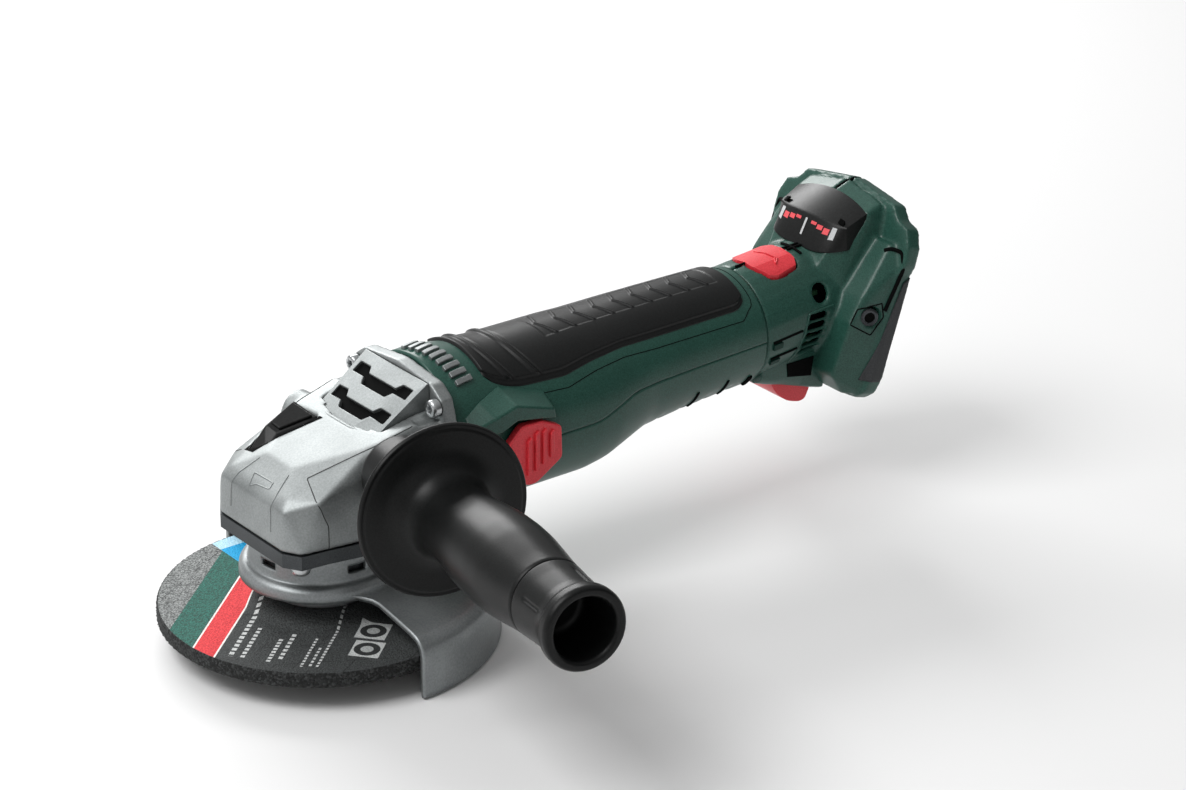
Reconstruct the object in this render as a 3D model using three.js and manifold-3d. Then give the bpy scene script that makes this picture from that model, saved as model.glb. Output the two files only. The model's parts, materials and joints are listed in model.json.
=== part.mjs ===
// A battery angle grinder, without its battery, as an assembly of separate solids.
// Millimetres. The origin is the centre of the spindle's end face, +Z runs up the spindle,
// +X runs back along the barrel, and the side handle is on the -Y side.
import * as THREE from 'three';
import { ConvexGeometry } from 'three/addons/geometries/ConvexGeometry.js';
import { mergeVertices } from 'three/addons/utils/BufferGeometryUtils.js';
import Module from 'manifold-3d';

const wasm = await Module();
wasm.setup();

// ---------------------------------------------------------------- driving dimensions
const GAP = 0.3; // between pieces that touch on the real tool
const WALL = 2.5; // moulded housing wall
const DISC_RADIUS = 62.5;
const DISC_THICKNESS = 6;
const DISC_BOTTOM = 1;
const DISC_RISE = 4.6; // how far the disc's centre is raised
const BORE_RADIUS = 11.2;
const SPINDLE_RADIUS = 7;
const SPINDLE_TOP = 65;
const GUARD_RADIUS = 66.5; // outside of the skirt
const GUARD_BOTTOM = -7.5;
const GUARD_SHEET = 2;
const COLLAR_RADIUS = 27;
const PARTING_Z = 41.5; // gear case to bearing cover
const COVER_BOTTOM = 36;
const MOTOR_Z = 60; // axis of the motor
const SWITCH_TRAVEL = 5.5;
const SWIVEL_Z = 66.3; // axis of the turning rear housing
const SEAM_X = 197; // front face of the rear housing
const CASE_BACK = 41.5; // rear face of the gear case
const CROWN_TEETH = 37;
const PINION_TEETH = 11;
const LEAN = THREE.MathUtils.degToRad(16.8); // battery plate, from upright
const HANDLE_ROOT = new THREE.Vector3(17.4, 0, 66.4);
const HANDLE_DIRECTION = new THREE.Vector3(-0.185, -1, 0.048).normalize();
const HANDLE_END = 186.4;

// ---------------------------------------------------------------- materials
function finish(colour, roughness, metalness = 0) {
  return new THREE.MeshStandardMaterial({ color: colour, roughness, metalness });
}
const cast = finish(0xc3c6c7, 0.45, 0.6);
const darkPlastic = finish(0x2a2c2d, 0.6);
const greenPlastic = finish(0x2b5046, 0.5);
const blackRubber = finish(0x1d1f20, 0.75);
const redPlastic = finish(0xd8383f, 0.45);
const steel = finish(0xb8babc, 0.3, 0.95);
const darkSteel = finish(0x55585b, 0.4, 0.9);
const sheetSteel = finish(0x9a9d9e, 0.4, 0.8);
const abrasive = finish(0x3b3c3c, 0.95);
const copper = finish(0xa8653a, 0.4, 0.9);
const boardGreen = finish(0x1f4d33, 0.5);

// ---------------------------------------------------------------- solids
function solidOf(geometry) {
  const bare = geometry.clone();
  bare.deleteAttribute('normal');
  bare.deleteAttribute('uv');
  const merged = mergeVertices(bare, 1e-4);
  const index = merged.index.array;
  const triangles = [];
  for (let i = 0; i < index.length; i += 3) {
    const [a, b, c] = [index[i], index[i + 1], index[i + 2]];
    if (a !== b && b !== c && c !== a) triangles.push(a, b, c);
  }
  const vertProperties = new Float32Array(merged.attributes.position.array);
  return new wasm.Manifold(new wasm.Mesh({ numProp: 3, vertProperties, triVerts: new Uint32Array(triangles) }));
}

function geometryOf(solid) {
  const { vertProperties, triVerts } = solid.getMesh();
  const geometry = new THREE.BufferGeometry();
  geometry.setAttribute('position', new THREE.BufferAttribute(new Float32Array(vertProperties), 3));
  geometry.setIndex(new THREE.BufferAttribute(new Uint32Array(triVerts), 1));
  geometry.computeVertexNormals();
  return geometry;
}

const join = (first, ...rest) => rest.reduce((whole, next) => whole.add(next), first);
const cut = (first, ...rest) => rest.reduce((whole, next) => whole.subtract(next), first);

function extruded(outline, depth) {
  const shape = new THREE.Shape(outline.map(([a, b]) => new THREE.Vector2(a, b)));
  return new THREE.ExtrudeGeometry(shape, { depth, bevelEnabled: false });
}
/** A prism from an outline in (x, y), between two heights. */
const prismZ = (outline, low, high) => solidOf(extruded(outline, high - low).translate(0, 0, low));
/** A prism from an outline in (x, z), between two values of y. */
const prismY = (outline, low, high) =>
  solidOf(extruded(outline, high - low).rotateX(Math.PI / 2).translate(0, high, 0));
/** A prism from an outline in (y, z), between two values of x. */
const prismX = (outline, low, high) =>
  solidOf(extruded(outline, high - low).rotateX(Math.PI / 2).rotateZ(Math.PI / 2).translate(low, 0, 0));

/** Turns a closed (radius, height) profile, listed anticlockwise, about Z. */
function turned(profile, segments = 40) {
  const points = [...profile, profile[0]].map(([r, z]) => new THREE.Vector2(r, z));
  return solidOf(new THREE.LatheGeometry(points, segments).rotateX(Math.PI / 2));
}
const tube = (inner, outer, low, high, segments) =>
  turned([[inner, low], [outer, low], [outer, high], [inner, high]], segments);
const rod = (radius, low, high, segments = 32) =>
  solidOf(new THREE.CylinderGeometry(radius, radius, high - low, segments).rotateX(Math.PI / 2)
    .translate(0, 0, (low + high) / 2));
const box = (x0, x1, y0, y1, z0, z1) =>
  solidOf(new THREE.BoxGeometry(x1 - x0, y1 - y0, z1 - z0)
    .translate((x0 + x1) / 2, (y0 + y1) / 2, (z0 + z1) / 2));

/** Moves a solid made along Z so that it lies along +X at the given height. */
const alongX = (solid, z) => moved(solid, new THREE.Vector3(1, 0, 0), new THREE.Vector3(0, 0, z));
const alongY = (solid, x, z) => moved(solid, new THREE.Vector3(0, 1, 0), new THREE.Vector3(x, 0, z));

function moved(solid, direction, position) {
  const turn = new THREE.Quaternion().setFromUnitVectors(new THREE.Vector3(0, 0, 1), direction);
  const geometry = geometryOf(solid);
  geometry.applyQuaternion(turn).translate(position.x, position.y, position.z);
  return solidOf(geometry);
}

/** A faceted body: the hull of points given for the +Y side, each mirrored to -Y. */
const twoSided = (points) => points.flatMap(([x, y, z]) => (y === 0 ? [[x, y, z]] : [[x, y, z], [x, -y, z]]));
const hull = (points) => solidOf(new ConvexGeometry(points.map((p) => new THREE.Vector3(...p))));

/** The same points pushed away from their middle, so that a pocket clears the piece in it. */
function grown(points, distance = GAP) {
  const middle = points.reduce((sum, p) => sum.add(new THREE.Vector3(...p)), new THREE.Vector3())
    .divideScalar(points.length);
  return points.map((p) => {
    const point = new THREE.Vector3(...p);
    const away = point.clone().sub(middle).normalize();
    return point.addScaledVector(away, distance * 1.9).toArray();
  });
}

/** A body through oval sections; each station is [x, top, bottom, half width], shrunk by inset. */
function barrel(stations, inset = 0, sides = 28) {
  const last = stations.length - 1;
  const geometry = new THREE.CylinderGeometry(1, 1, last, sides, last).translate(0, last / 2, 0);
  const position = geometry.attributes.position;
  for (let i = 0; i < position.count; i += 1) {
    const [x, top, bottom, halfWidth] = stations[Math.round(position.getY(i))];
    const across = -position.getX(i) * (halfWidth - inset);
    const up = (top + bottom) / 2 + position.getZ(i) * ((top - bottom) / 2 - inset);
    position.setXYZ(i, x, across, up);
  }
  return solidOf(geometry);
}

/** An arc of points about a centre, between two angles in degrees. */
function arc(cx, cy, radius, from, to, steps) {
  return Array.from({ length: steps + 1 }, (_, i) => {
    const angle = THREE.MathUtils.degToRad(from + ((to - from) * i) / steps);
    return [cx + radius * Math.cos(angle), cy + radius * Math.sin(angle)];
  });
}

// ---------------------------------------------------------------- the assembly
const grinder = new THREE.Group();

function add(name, solid, material) {
  const mesh = new THREE.Mesh(geometryOf(solid), material);
  mesh.name = name;
  grinder.add(mesh);
  return mesh;
}

// ---------------------------------------------------------------- spindle and disc
function gear(teeth, tip, root, low, high) {
  const outline = Array.from({ length: teeth * 2 }, (_, i) => {
    const angle = (i / (teeth * 2)) * 2 * Math.PI;
    const radius = i % 2 ? tip : root;
    return [radius * Math.cos(angle), radius * Math.sin(angle)];
  });
  return prismZ(outline, low, high);
}

function spindleGroup() {
  const lowShoulder = 20;
  add('spindle', join(rod(SPINDLE_RADIUS, 0, lowShoulder), rod(6, lowShoulder - 1, SPINDLE_TOP)), steel);
  const crownBore = 6 + GAP;
  add('crown_gear', cut(join(gear(CROWN_TEETH, 21, 19.4, 47, 52.8), rod(12, 43.2, 48)),
    rod(crownBore, 40, 56)), darkSteel);
  const hubUnder = DISC_BOTTOM + DISC_RISE;
  const hubOver = hubUnder + DISC_THICKNESS;
  const bossRadius = BORE_RADIUS - GAP;
  add('support_flange', turned([[SPINDLE_RADIUS + GAP, 8.2], [bossRadius, 8.2], [bossRadius, hubOver + GAP],
    [20.5, hubOver + GAP], [20.5, 16], [11, 18], [11, 21], [SPINDLE_RADIUS + GAP, 21]], 32), steel);
  add('clamp_nut', turned([[SPINDLE_RADIUS + GAP, 0.6], [20, 0.6], [20, hubUnder - GAP],
    [bossRadius, hubUnder - GAP], [bossRadius, 7.9], [SPINDLE_RADIUS + GAP, 7.9]], 32), darkSteel);
  const top = DISC_BOTTOM + DISC_THICKNESS;
  add('grinding_disc', turned([[BORE_RADIUS, hubUnder], [22.5, hubUnder], [30, DISC_BOTTOM],
    [DISC_RADIUS, DISC_BOTTOM], [DISC_RADIUS, top], [30, top], [22.5, hubOver], [BORE_RADIUS, hubOver]], 48),
  abrasive);
}

// ---------------------------------------------------------------- guard
const GUARD_EDGE = -0.6; // x of the skirt's end edges
const LIP_RADIUS = 31;
const EDGE_FILLET = 10;

/** Outline of the metal left off the front half of the guard's plate. */
function guardFront() {
  const far = 80;
  const centreX = GUARD_EDGE - EDGE_FILLET;
  const centreY = Math.sqrt((LIP_RADIUS + EDGE_FILLET) ** 2 - centreX ** 2);
  const meet = THREE.MathUtils.radToDeg(Math.atan2(centreY, centreX));
  const lower = arc(centreX, -centreY, EDGE_FILLET, 0, 180 - meet, 5);
  const upper = arc(centreX, centreY, EDGE_FILLET, meet - 180, 0, 5);
  const lip = arc(0, 0, LIP_RADIUS + 0.2, -meet, meet - 360, 28);
  return [[GUARD_EDGE, -far], ...lower, ...lip, ...upper, [GUARD_EDGE, far], [-far, far], [-far, -far]];
}

function guardGroup() {
  const inner = COLLAR_RADIUS - GUARD_SHEET;
  const collarTop = COVER_BOTTOM - GAP;
  const skirtIn = GUARD_RADIUS - GUARD_SHEET;
  const sheet = turned([[inner, 21.5], [LIP_RADIUS - 3, 21.5], [LIP_RADIUS - 1.8, 18], [45, 16.4], [60, 13.6],
    [63, 12.2], [skirtIn, 9], [skirtIn, GUARD_BOTTOM], [GUARD_RADIUS, GUARD_BOTTOM], [GUARD_RADIUS, 10],
    [65.4, 13.2], [62, 15.4], [45, 18.4], [LIP_RADIUS + 0.6, 20], [LIP_RADIUS - 1, 23.2],
    [COLLAR_RADIUS, 24], [COLLAR_RADIUS, collarTop], [inner, collarTop]], 48);
  const lip = turned([[LIP_RADIUS - 2, 18.6], [LIP_RADIUS, 18.6], [LIP_RADIUS, 21], [LIP_RADIUS - 2, 22]], 48);
  const front = prismZ(guardFront(), GUARD_BOTTOM - 1, collarTop + 1);
  const slots = [-170, -94, -20, 56, 130].map((angle) => {
    const turn = THREE.MathUtils.degToRad(angle);
    const slot = new THREE.BoxGeometry(8, 8, 3.2).translate(COLLAR_RADIUS, 0, 29.6).rotateZ(turn);
    return solidOf(slot);
  });
  add('guard', cut(join(cut(sheet, front), lip), ...slots), sheetSteel);
  const latch = prismY([[27.6, 32.4], [32.2, 32.4], [32.2, 35.4], [27.6, 35.4]], -5, 5);
  add('guard_latch', join(latch, box(30, 32.2, -5, 5, 27, 35.4)), darkSteel);
}

// ---------------------------------------------------------------- gear case
const caseBase = [[-30.5, 20.9], [-26.4, 27.5], [-16, 28.6], [-3, 31], [35.2, 31]];
const coverScrewSpots = [[-23.2, -21.8], [-23.2, 21.8], [23.2, -21.8], [23.2, 21.8]];
const ventWedge = twoSided([[9.6, 6.1, 75], [12.7, 18.6, 75.2], [35.6, 20.1, 91.3], [36.4, 20.1, 88],
  [36, 20.1, 76], [14, 18.4, 71]]);
const lockButton = [[-8.5, 14.5, 70.4], [6.8, 9.5, 74.8], [5, 23.5, 77], [-9.8, 20, 72.4], [-14, 14, 66],
  [-17.5, 20, 64], [-12, 16, 61], [5, 14, 66], [4, 26, 68], [-14, 24, 62]];
const LOCK_TRAVEL = 3;

function coverOutline() {
  const near = caseBase.map(([x, y]) => [x, -y]);
  return [...near, ...[...caseBase].reverse()];
}

function caseBody() {
  const base = caseBase.map(([x, y]) => [x, y, PARTING_Z + GAP]);
  const nose = [[-30.3, 0, 55], [-29.8, 20.9, 57.5], [-26.3, 18.7, 61.2], [-28, 14, 59.8]];
  const lowRidge = [[-16, 30, 52], [-18.5, 28.5, 61.3], [7.5, 29.5, 68.3], [36, 31, 74]];
  const highRidge = [[-15.5, 16.5, 64.8], [7, 25, 75.3], [28, 26.5, 80.5], [36, 26.5, 81.5]];
  const head = hull(twoSided([...base, ...nose, ...lowRidge, ...highRidge, [-16.8, 8.8, 67.5]]));
  const flangeOutline = [[0, 93.6], [22, 91], [28, 86.7], [30.6, 78], [31.6, 62], [31, 44], [26, 30], [14, 26.4]];
  const mirrored = [...flangeOutline].slice(1).reverse().map(([y, z]) => [-y, z]);
  const flange = prismX([...mirrored, ...flangeOutline].reverse(), 35.6, CASE_BACK);
  const bosses = bothHandleSides(rod(8.5, 22, 33.5, 20));
  return join(head, flange, ...bosses);
}

/** A solid made along Z, laid along the side handle's axis on the left and, mirrored, on the right. */
function bothHandleSides(solid) {
  return [-1, 1].map((side) => {
    const direction = HANDLE_DIRECTION.clone().setY(side * Math.abs(HANDLE_DIRECTION.y));
    return moved(solid, direction, HANDLE_ROOT);
  });
}

function gearCase() {
  const chamber = rod(23, PARTING_Z - 1, 57, 32);
  const pinionBore = alongX(rod(8.5, 6, 34, 20), MOTOR_Z);
  const rearBearing = alongX(rod(11.3, 33, CASE_BACK + 1, 24), MOTOR_Z);
  const topBearing = rod(9.3, 56, 66.5, 20);
  const ducts = [-1, 1].map((side) => box(27, CASE_BACK + 1, side * 17 - 3, side * 17 + 3, 72, 84));
  const screwHoles = caseScrewSpots().map(([y, z]) => alongAxis(rod(2.4, 30, CASE_BACK + 1, 10), y, z));
  const headRooms = caseScrewSpots().slice(0, 2).map(([y, z]) => alongAxis(rod(5, 26, 35.6, 16), y, z));
  const pressed = grown(lockButton).map(([x, y, z]) => [x, y, z - LOCK_TRAVEL - GAP]);
  const lockRoom = hull([...grown(lockButton), ...pressed]);
  add('gear_case', cut(caseBody(), chamber, pinionBore, rearBearing, topBearing, ...ducts, ...screwHoles,
    ...headRooms, hull(grown(ventWedge)), lockRoom, ...bothHandleSides(rod(5.3, 20, 36, 16))), cast);
}

const caseScrewSpots = () => [[-25.7, 83.7], [25.7, 83.7], [-21, 31.6], [21, 31.6]];
function alongAxis(solid, y, z) {
  return moved(solid, new THREE.Vector3(1, 0, 0), new THREE.Vector3(0, y, z));
}

function ventPanel() {
  const slope = Math.atan2(91.3 - 75.1, 35.5 - 11.2);
  const zigzag = [[-17, 1.6], [-9.5, 1.6], [-7.5, -1.4], [7.5, -1.4], [9.5, 1.6], [17, 1.6],
    [17, 6.4], [10.5, 6.4], [8.5, 3.6], [-8.5, 3.6], [-10.5, 6.4], [-17, 6.4]];
  const slots = [5.4, 17.6].map((along) => {
    const outline = zigzag.map(([y, v]) => new THREE.Vector2(along + v, y));
    const slot = new THREE.ExtrudeGeometry(new THREE.Shape(outline), { depth: 9, bevelEnabled: false });
    slot.translate(0, 0, -5).rotateY(-slope).translate(11.2, 0, 75.1);
    return solidOf(slot);
  });
  add('vent_panel', cut(hull(ventWedge), ...slots), cast);
}

function screw(headRadius, headHeight, shank, length) {
  const socket = prismZ(arc(0, 0, headRadius * 0.45, 0, 300, 5), headHeight * 0.35, headHeight + 1);
  return cut(join(rod(headRadius, 0, headHeight, 12), rod(shank, -length, 0.2, 8)), socket);
}

function headGroup() {
  gearCase();
  ventPanel();
  add('spindle_lock_button', hull(lockButton), darkPlastic);
  const neck = turned([[9, 22.5], [24.3, 22.5], [24.3, COVER_BOTTOM + 0.5], [9, COVER_BOTTOM + 0.5]], 32);
  const plate = prismZ(coverOutline(), COVER_BOTTOM, PARTING_Z);
  const recesses = coverScrewSpots.map(([x, y]) => rodAt(x, y, 4.2, COVER_BOTTOM - 1, COVER_BOTTOM + 2.3));
  const holes = coverScrewSpots.map(([x, y]) => rodAt(x, y, 2.4, COVER_BOTTOM - 1, PARTING_Z + 1));
  const latchSlot = box(26, 38, -5.4, 5.4, 26, 36.1);
  add('bearing_cover', cut(join(neck, plate), rod(16.3, 30, PARTING_Z + 1, 28), rod(9, 20, 31, 24),
    ...recesses, ...holes, latchSlot), darkPlastic);
  coverScrewSpots.forEach(([x, y], i) => {
    const mesh = add(`cover_screw_${i + 1}`, screw(3.6, 3.2, 2, 2.8), steel);
    mesh.rotation.x = Math.PI;
    mesh.position.set(x, y, COVER_BOTTOM + 2);
  });
  caseScrewSpots().forEach(([y, z], i) => {
    const mesh = add(`case_screw_${i + 1}`, screw(3.5, 3.4, 2, 5.6), steel);
    mesh.rotation.y = -Math.PI / 2;
    mesh.position.set(35.3, y, z);
  });
  add('spindle_bearing_lower', tube(6 + GAP, 16, 31.3, 40.8, 32), darkSteel);
  add('spindle_bearing_upper', tube(6 + GAP, 9, 57.5, 65, 24), darkSteel);
}

function rodAt(x, y, radius, low, high) {
  return solidOf(new THREE.CylinderGeometry(radius, radius, high - low, 12).rotateX(Math.PI / 2)
    .translate(x, y, (low + high) / 2));
}

// ---------------------------------------------------------------- motor
function motorGroup() {
  add('pinion', alongX(cut(gear(PINION_TEETH, 6.6, 5.2, 12, 22), rod(3.3, 11, 23, 20)), MOTOR_Z), darkSteel);
  add('motor_shaft', alongX(join(rod(3, 11, 30, 20), rod(3.9, 30, 133, 20)), MOTOR_Z), steel);
  add('motor_bearing_front', alongX(tube(4.2, 11, 34.5, 41.5, 28), MOTOR_Z), darkSteel);
  add('motor_bearing_rear', alongX(tube(4.2, 9.5, 124, 131, 28), MOTOR_Z), darkSteel);
  add('motor_rotor', alongX(tube(4.2, 12.4, 72, 112, 28), MOTOR_Z), darkSteel);
  const teeth = Array.from({ length: 6 }, (_, i) => i * 60).map((angle) =>
    solidOf(new THREE.BoxGeometry(6, 7, 44).translate(16.5, 0, 92).rotateZ(THREE.MathUtils.degToRad(angle))));
  add('motor_stator', alongX(join(tube(19, 23, 70, 114, 32), ...teeth), MOTOR_Z), copper);
  const blades = Array.from({ length: 9 }, (_, i) => i * 40).map((angle) =>
    solidOf(new THREE.BoxGeometry(16.4, 1.4, 7.3).translate(16.4, 0, 52.2).rotateZ(THREE.MathUtils.degToRad(angle))));
  add('fan', alongX(join(tube(4.2, 25, 55.5, 57.5, 32), tube(4.2, 9, 48, 56, 20), ...blades), MOTOR_Z),
    darkPlastic);
  add('air_baffle', alongX(tube(20, 26.2, 59, 61, 32), MOTOR_Z), darkPlastic);
}

// ---------------------------------------------------------------- motor housing and grip
const housingStations = [[42, 94.2, 26.2, 31.6], [50, 94.6, 25.8, 32], [60, 93.2, 26.8, 31.8],
  [70, 91.2, 27.8, 31.2], [80, 90.6, 29, 30.9], [110, 90.6, 29, 30.6], [120, 90.3, 30.6, 29.8],
  [130, 90.5, 34.4, 28.2], [140, 90.7, 38.2, 26.6], [160, 90.7, 40.1, 25.4], [180, 90.6, 41.5, 24.6],
  [SEAM_X - GAP, 90.3, 42.3, 24]];
const visorOutline = [[50.5, 69], [57, 78], [65, 80.4], [78, 75.4], [86, 70.6], [90, 66], [90, 60.2],
  [62, 60.2], [56, 63.5]];
const switchOutline = [[61.5, 64.4], [67.6, 70.4], [77, 70.2], [86, 65.8], [86.4, 52.6], [74.4, 45.2],
  [70, 45.2], [61.5, 52]];

function grownOutline(outline, distance) {
  const cx = outline.reduce((s, p) => s + p[0], 0) / outline.length;
  const cy = outline.reduce((s, p) => s + p[1], 0) / outline.length;
  return outline.map(([x, y]) => {
    const length = Math.hypot(x - cx, y - cy);
    return [x + ((x - cx) * distance) / length, y + ((y - cy) * distance) / length];
  });
}

/** The pad's outline seen from above, with the waist where the fingers close round the barrel. */
function padOutline(extra = 0) {
  const near = [[63, 21.5], [75, 23.4], [96, 24], [112, 22], [125, 20.6], [160, 19.6], [186, 19]];
  const side = near.map(([x, y]) => [x, -(y + extra)]);
  const other = [...near].reverse().map(([x, y]) => [x, y + extra]);
  return [...side, [190 + extra, -14], [190 + extra, 14], ...other, [61 - extra, 8], [61 - extra, -8]];
}

function housingGroup() {
  const outer = barrel(housingStations);
  const innerStations = housingStations.map(([x, ...rest]) => [x, ...rest]);
  innerStations[0][0] = 40;
  innerStations[innerStations.length - 1][0] = SEAM_X + 2;
  const inner = barrel(innerStations, WALL);
  const visor = cut(prismY(visorOutline, -35.6, -20), inner);
  const padSeat = cut(prismZ(padOutline(GAP), 70, 100), barrel(housingStations, 1.2));
  const switchEdge = grownOutline(switchOutline, 0.6);
  const switchRoom = hull([0, -SWITCH_TRAVEL].flatMap((along) =>
    [-40, -31].flatMap((y) => switchEdge.map(([x, z]) => [x + along, y, z]))));
  const neckSlot = box(64, 84, -34, -20, 54.5, 61.5);
  const shell = cut(join(cut(outer, inner), visor), padSeat, switchRoom, neckSlot);
  const seam = [[30, 59.5], [108, 59.5], [127, 66], [210, 67]];
  const above = prismY([...seam, [210, 110], [30, 110]], -50, 50);
  const below = prismY([...seam.map(([x, z]) => [x, z - GAP]).reverse(), [30, 0], [210, 0]], -50, 50);
  add('housing_upper', shell.intersect(above), greenPlastic);
  add('housing_lower', shell.intersect(below), greenPlastic);
  const padBody = prismZ(padOutline(), 70, 100);
  const padSkin = cut(barrel(housingStations, -1.3), barrel(housingStations, 0.9));
  add('grip_pad', padSkin.intersect(padBody), blackRubber);
  const pad = prismY(switchOutline, -35.4, -31.8);
  const foot = join(box(72, 82, -33, -27.6, 56.5, 59.5), box(70, 84, -27.9, -26, 56, 60));
  add('slide_switch', join(pad, foot), redPlastic);
  add('switch_rod', join(box(85, 123.6, -26, -24.2, 57, 59), box(120.6, 123.6, -26, -15, 57, 59)),
    darkPlastic);
  add('switch_module', box(124, 142, -19, -11.5, 55, 66), darkPlastic);
}

// ---------------------------------------------------------------- rear housing and battery mount
const PLATE_FOOT = [244.5, 38]; // a point (x, z) on the rear face of the battery plate
const PLATE_THICKNESS = 7.2;
const plateX = (z) => PLATE_FOOT[0] + Math.tan(LEAN) * (z - PLATE_FOOT[1]);
const neckStations = [[SEAM_X, 90.3, 42.3, 24], [208, 91.4, 43.4, 24], [222, 92.6, 45, 24], [240, 93, 46, 24]];
const blockPoints = twoSided([[229, 15, 88], [237.5, 17.4, 99.9], [240.4, 18, 104.3], [250.3, 21.3, 108.2],
  [251.3, 0, 112.7], [258, 0, 115.1], [257, 21.4, 110.7], [260, 24, 100], [254, 24, 80], [236, 22, 80]]);
const footPoints = twoSided([[225, 31, 47], [231, 34, 69], [237, 34, 79], [253, 32, 98], [258.4, 38.6, 94],
  [256, 38.6, 84], [244, 38, 46], [240, 36, 36.6], [232, 30, 37]]);
const coverPoints = twoSided([[251.2, 0, 112.2], [250.1, 20.8, 107.9], [249, 21, 104.6], [239.8, 18.3, 103.6],
  [238, 0, 104.2], [240.2, 19, 95], [234.6, 7, 93.6], [245, 16, 98], [247, 8, 101]]);

function batteryPlate() {
  const side = [[26.4, 74.2], [30.7, 69.3], [36.9, 67.2], [40, 60.5], [40.5, 53.2], [38.5, 48], [38.5, 5],
    [36.5, -1.7], [32, -5.2], [18, -6.2]];
  const outline = [[0, 78.4], ...side, ...[...side].reverse().map(([y, up]) => [-y, up])];
  return solidOf(extruded(outline, PLATE_THICKNESS).rotateX(Math.PI / 2).rotateZ(Math.PI / 2)
    .translate(-PLATE_THICKNESS, 0, 0).rotateY(LEAN).translate(PLATE_FOOT[0], 0, PLATE_FOOT[1]));
}

/** A box whose front and back follow the battery plate's lean. */
function leaningBox(depthFrom, depthTo, halfWidth, low, high) {
  const outline = [[plateX(low) - depthTo, low], [plateX(low) - depthFrom, low],
    [plateX(high) - depthFrom, high], [plateX(high) - depthTo, high]];
  return prismY(outline, -halfWidth, halfWidth);
}

function ventSlots() {
  const angles = [82, 91.5, 101, 110.5, 120];
  return angles.flatMap((angle) => [-1, 1].map((side) => {
    const slot = new THREE.BoxGeometry(9.6, 12, 2.4);
    slot.translate(0, side * 24, 0).rotateX(THREE.MathUtils.degToRad(side * (90 - angle)));
    slot.translate(223.6 - (angle - 82) * 0.07, 0, SWIVEL_Z + 1.4);
    return solidOf(slot);
  }));
}

const swivelOutline = [[204, 4.6], [204, -4.6], [207.4, -11.6], [211, -12.8], [221, -11.6], [223, -8],
  [223, 8], [221, 11.6], [211, 12.8], [207.4, 11.6]];
const leverOutline = [[204, 46], [206, 41.6], [227.5, 29.6], [231, 37.2], [231, 46]];

function rearGroup() {
  const neck = barrel(neckStations);
  const neckHollow = barrel([[SEAM_X - 2, 90.3, 42.3, 24], ...neckStations.slice(1)], WALL);
  const mass = join(neck, hull(blockPoints), hull(footPoints), batteryPlate());
  const bay = leaningBox(-3, 12, 22, 30, 92);
  const inner = hull(twoSided([[236, 19, 50], [236, 17, 88], [244, 17, 96], [250, 17, 100], [246, 19, 86],
    [238, 19, 50]]));
  const switchHole = cut(prismZ(grownOutline(swivelOutline, 0.5), 80, 100), barrel(neckStations, 3.4));
  const buttonStem = box(209, 218, -6, 6, 80, 100);
  const leverHole = prismY([[202.8, 52], [202.8, 40], [228, 27], [232.5, 36], [232.5, 52]], -13.4, 13.4);
  const screwHoles = [alongY(rod(3.9, -41, -24, 20), 241, 70.6), alongY(rod(3.8, -30, -17, 20), 226.3, 79.3)];
  const shell = cut(mass, neckHollow, bay, inner, hull(grown(coverPoints)), switchHole, buttonStem,
    leverHole, ...ventSlots(), ...screwHoles);
  add('rear_shell_left', shell.intersect(box(190, 280, -60, -GAP / 2, 0, 130)), greenPlastic);
  add('rear_shell_right', shell.intersect(box(190, 280, GAP / 2, 60, 0, 130)), greenPlastic);
  add('indicator_cover', hull(coverPoints), darkPlastic);
  const buttonTop = cut(barrel(neckStations, -0.5), barrel(neckStations, WALL - 0.4));
  const button = buttonTop.intersect(prismZ(swivelOutline, 80, 100));
  add('swivel_button', join(button, box(210, 217, -5, 5, 84, 89.6)), redPlastic);
  add('rear_lever', prismY(leverOutline, -12.8, 12.8), redPlastic);
  add('swivel_ring', alongX(tube(17.5, 20.8, 190, 203, 32), SWIVEL_Z), darkPlastic);
  add('electronics_module', box(206, 230, -15, 15, 56, 78), boardGreen);
  add('battery_terminal_block', leaningBox(1, 11.6, 14, 66, 88), darkPlastic);
  [-1, 1].forEach((side) => {
    const strip = [[235.4, 45.6], [244.2, 42], [256.6, 82.4], [255.6, 84.2]];
    const [low, high] = side < 0 ? [-40, -38.8] : [38.8, 40];
    add(side < 0 ? 'bumper_left' : 'bumper_right', prismY(strip, low, high), blackRubber);
  });
  [[241, 70.6, -33], [226.3, 79.3, -19.8]].forEach(([x, z, y], i) => {
    const mesh = add(`rear_screw_${i + 1}`, screw(3.2, 2.6, 1.8, 2), steel);
    mesh.rotation.x = Math.PI / 2;
    mesh.position.set(x, y, z);
  });
}

// ---------------------------------------------------------------- side handle
function placeOnHandle(mesh) {
  mesh.quaternion.setFromUnitVectors(new THREE.Vector3(0, 0, 1), HANDLE_DIRECTION);
  mesh.position.copy(HANDLE_ROOT);
}

function handleGroup() {
  const bore = 5 + GAP;
  const seam = 159.5;
  const grip = turned([[bore, 34], [13.5, 34], [14.5, 36], [15, 62], [18, 69], [33, 73.6], [33.2, 75.4],
    [32.2, 76.2], [24, 76.4], [18, 79.5], [15, 85], [14.4, 92], [15.2, 101], [16.6, 111], [17.2, 122],
    [17, 134], [16.1, 146], [14.6, seam - GAP / 2], [bore, seam - GAP / 2]], 26);
  placeOnHandle(add('handle_grip', grip, darkPlastic));
  const cap = turned([[0, seam + GAP / 2], [14.6, seam + GAP / 2], [13.9, 170], [13.8, 178], [15.2, 181],
    [15.4, 184.6], [14.4, HANDLE_END], [11.8, HANDLE_END], [11.4, 184], [11.4, 162.5], [0, 162.5]], 26);
  placeOnHandle(add('handle_cap', cap, darkPlastic));
  placeOnHandle(add('handle_stud', rod(5, 22, 120, 20), steel));
}

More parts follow.
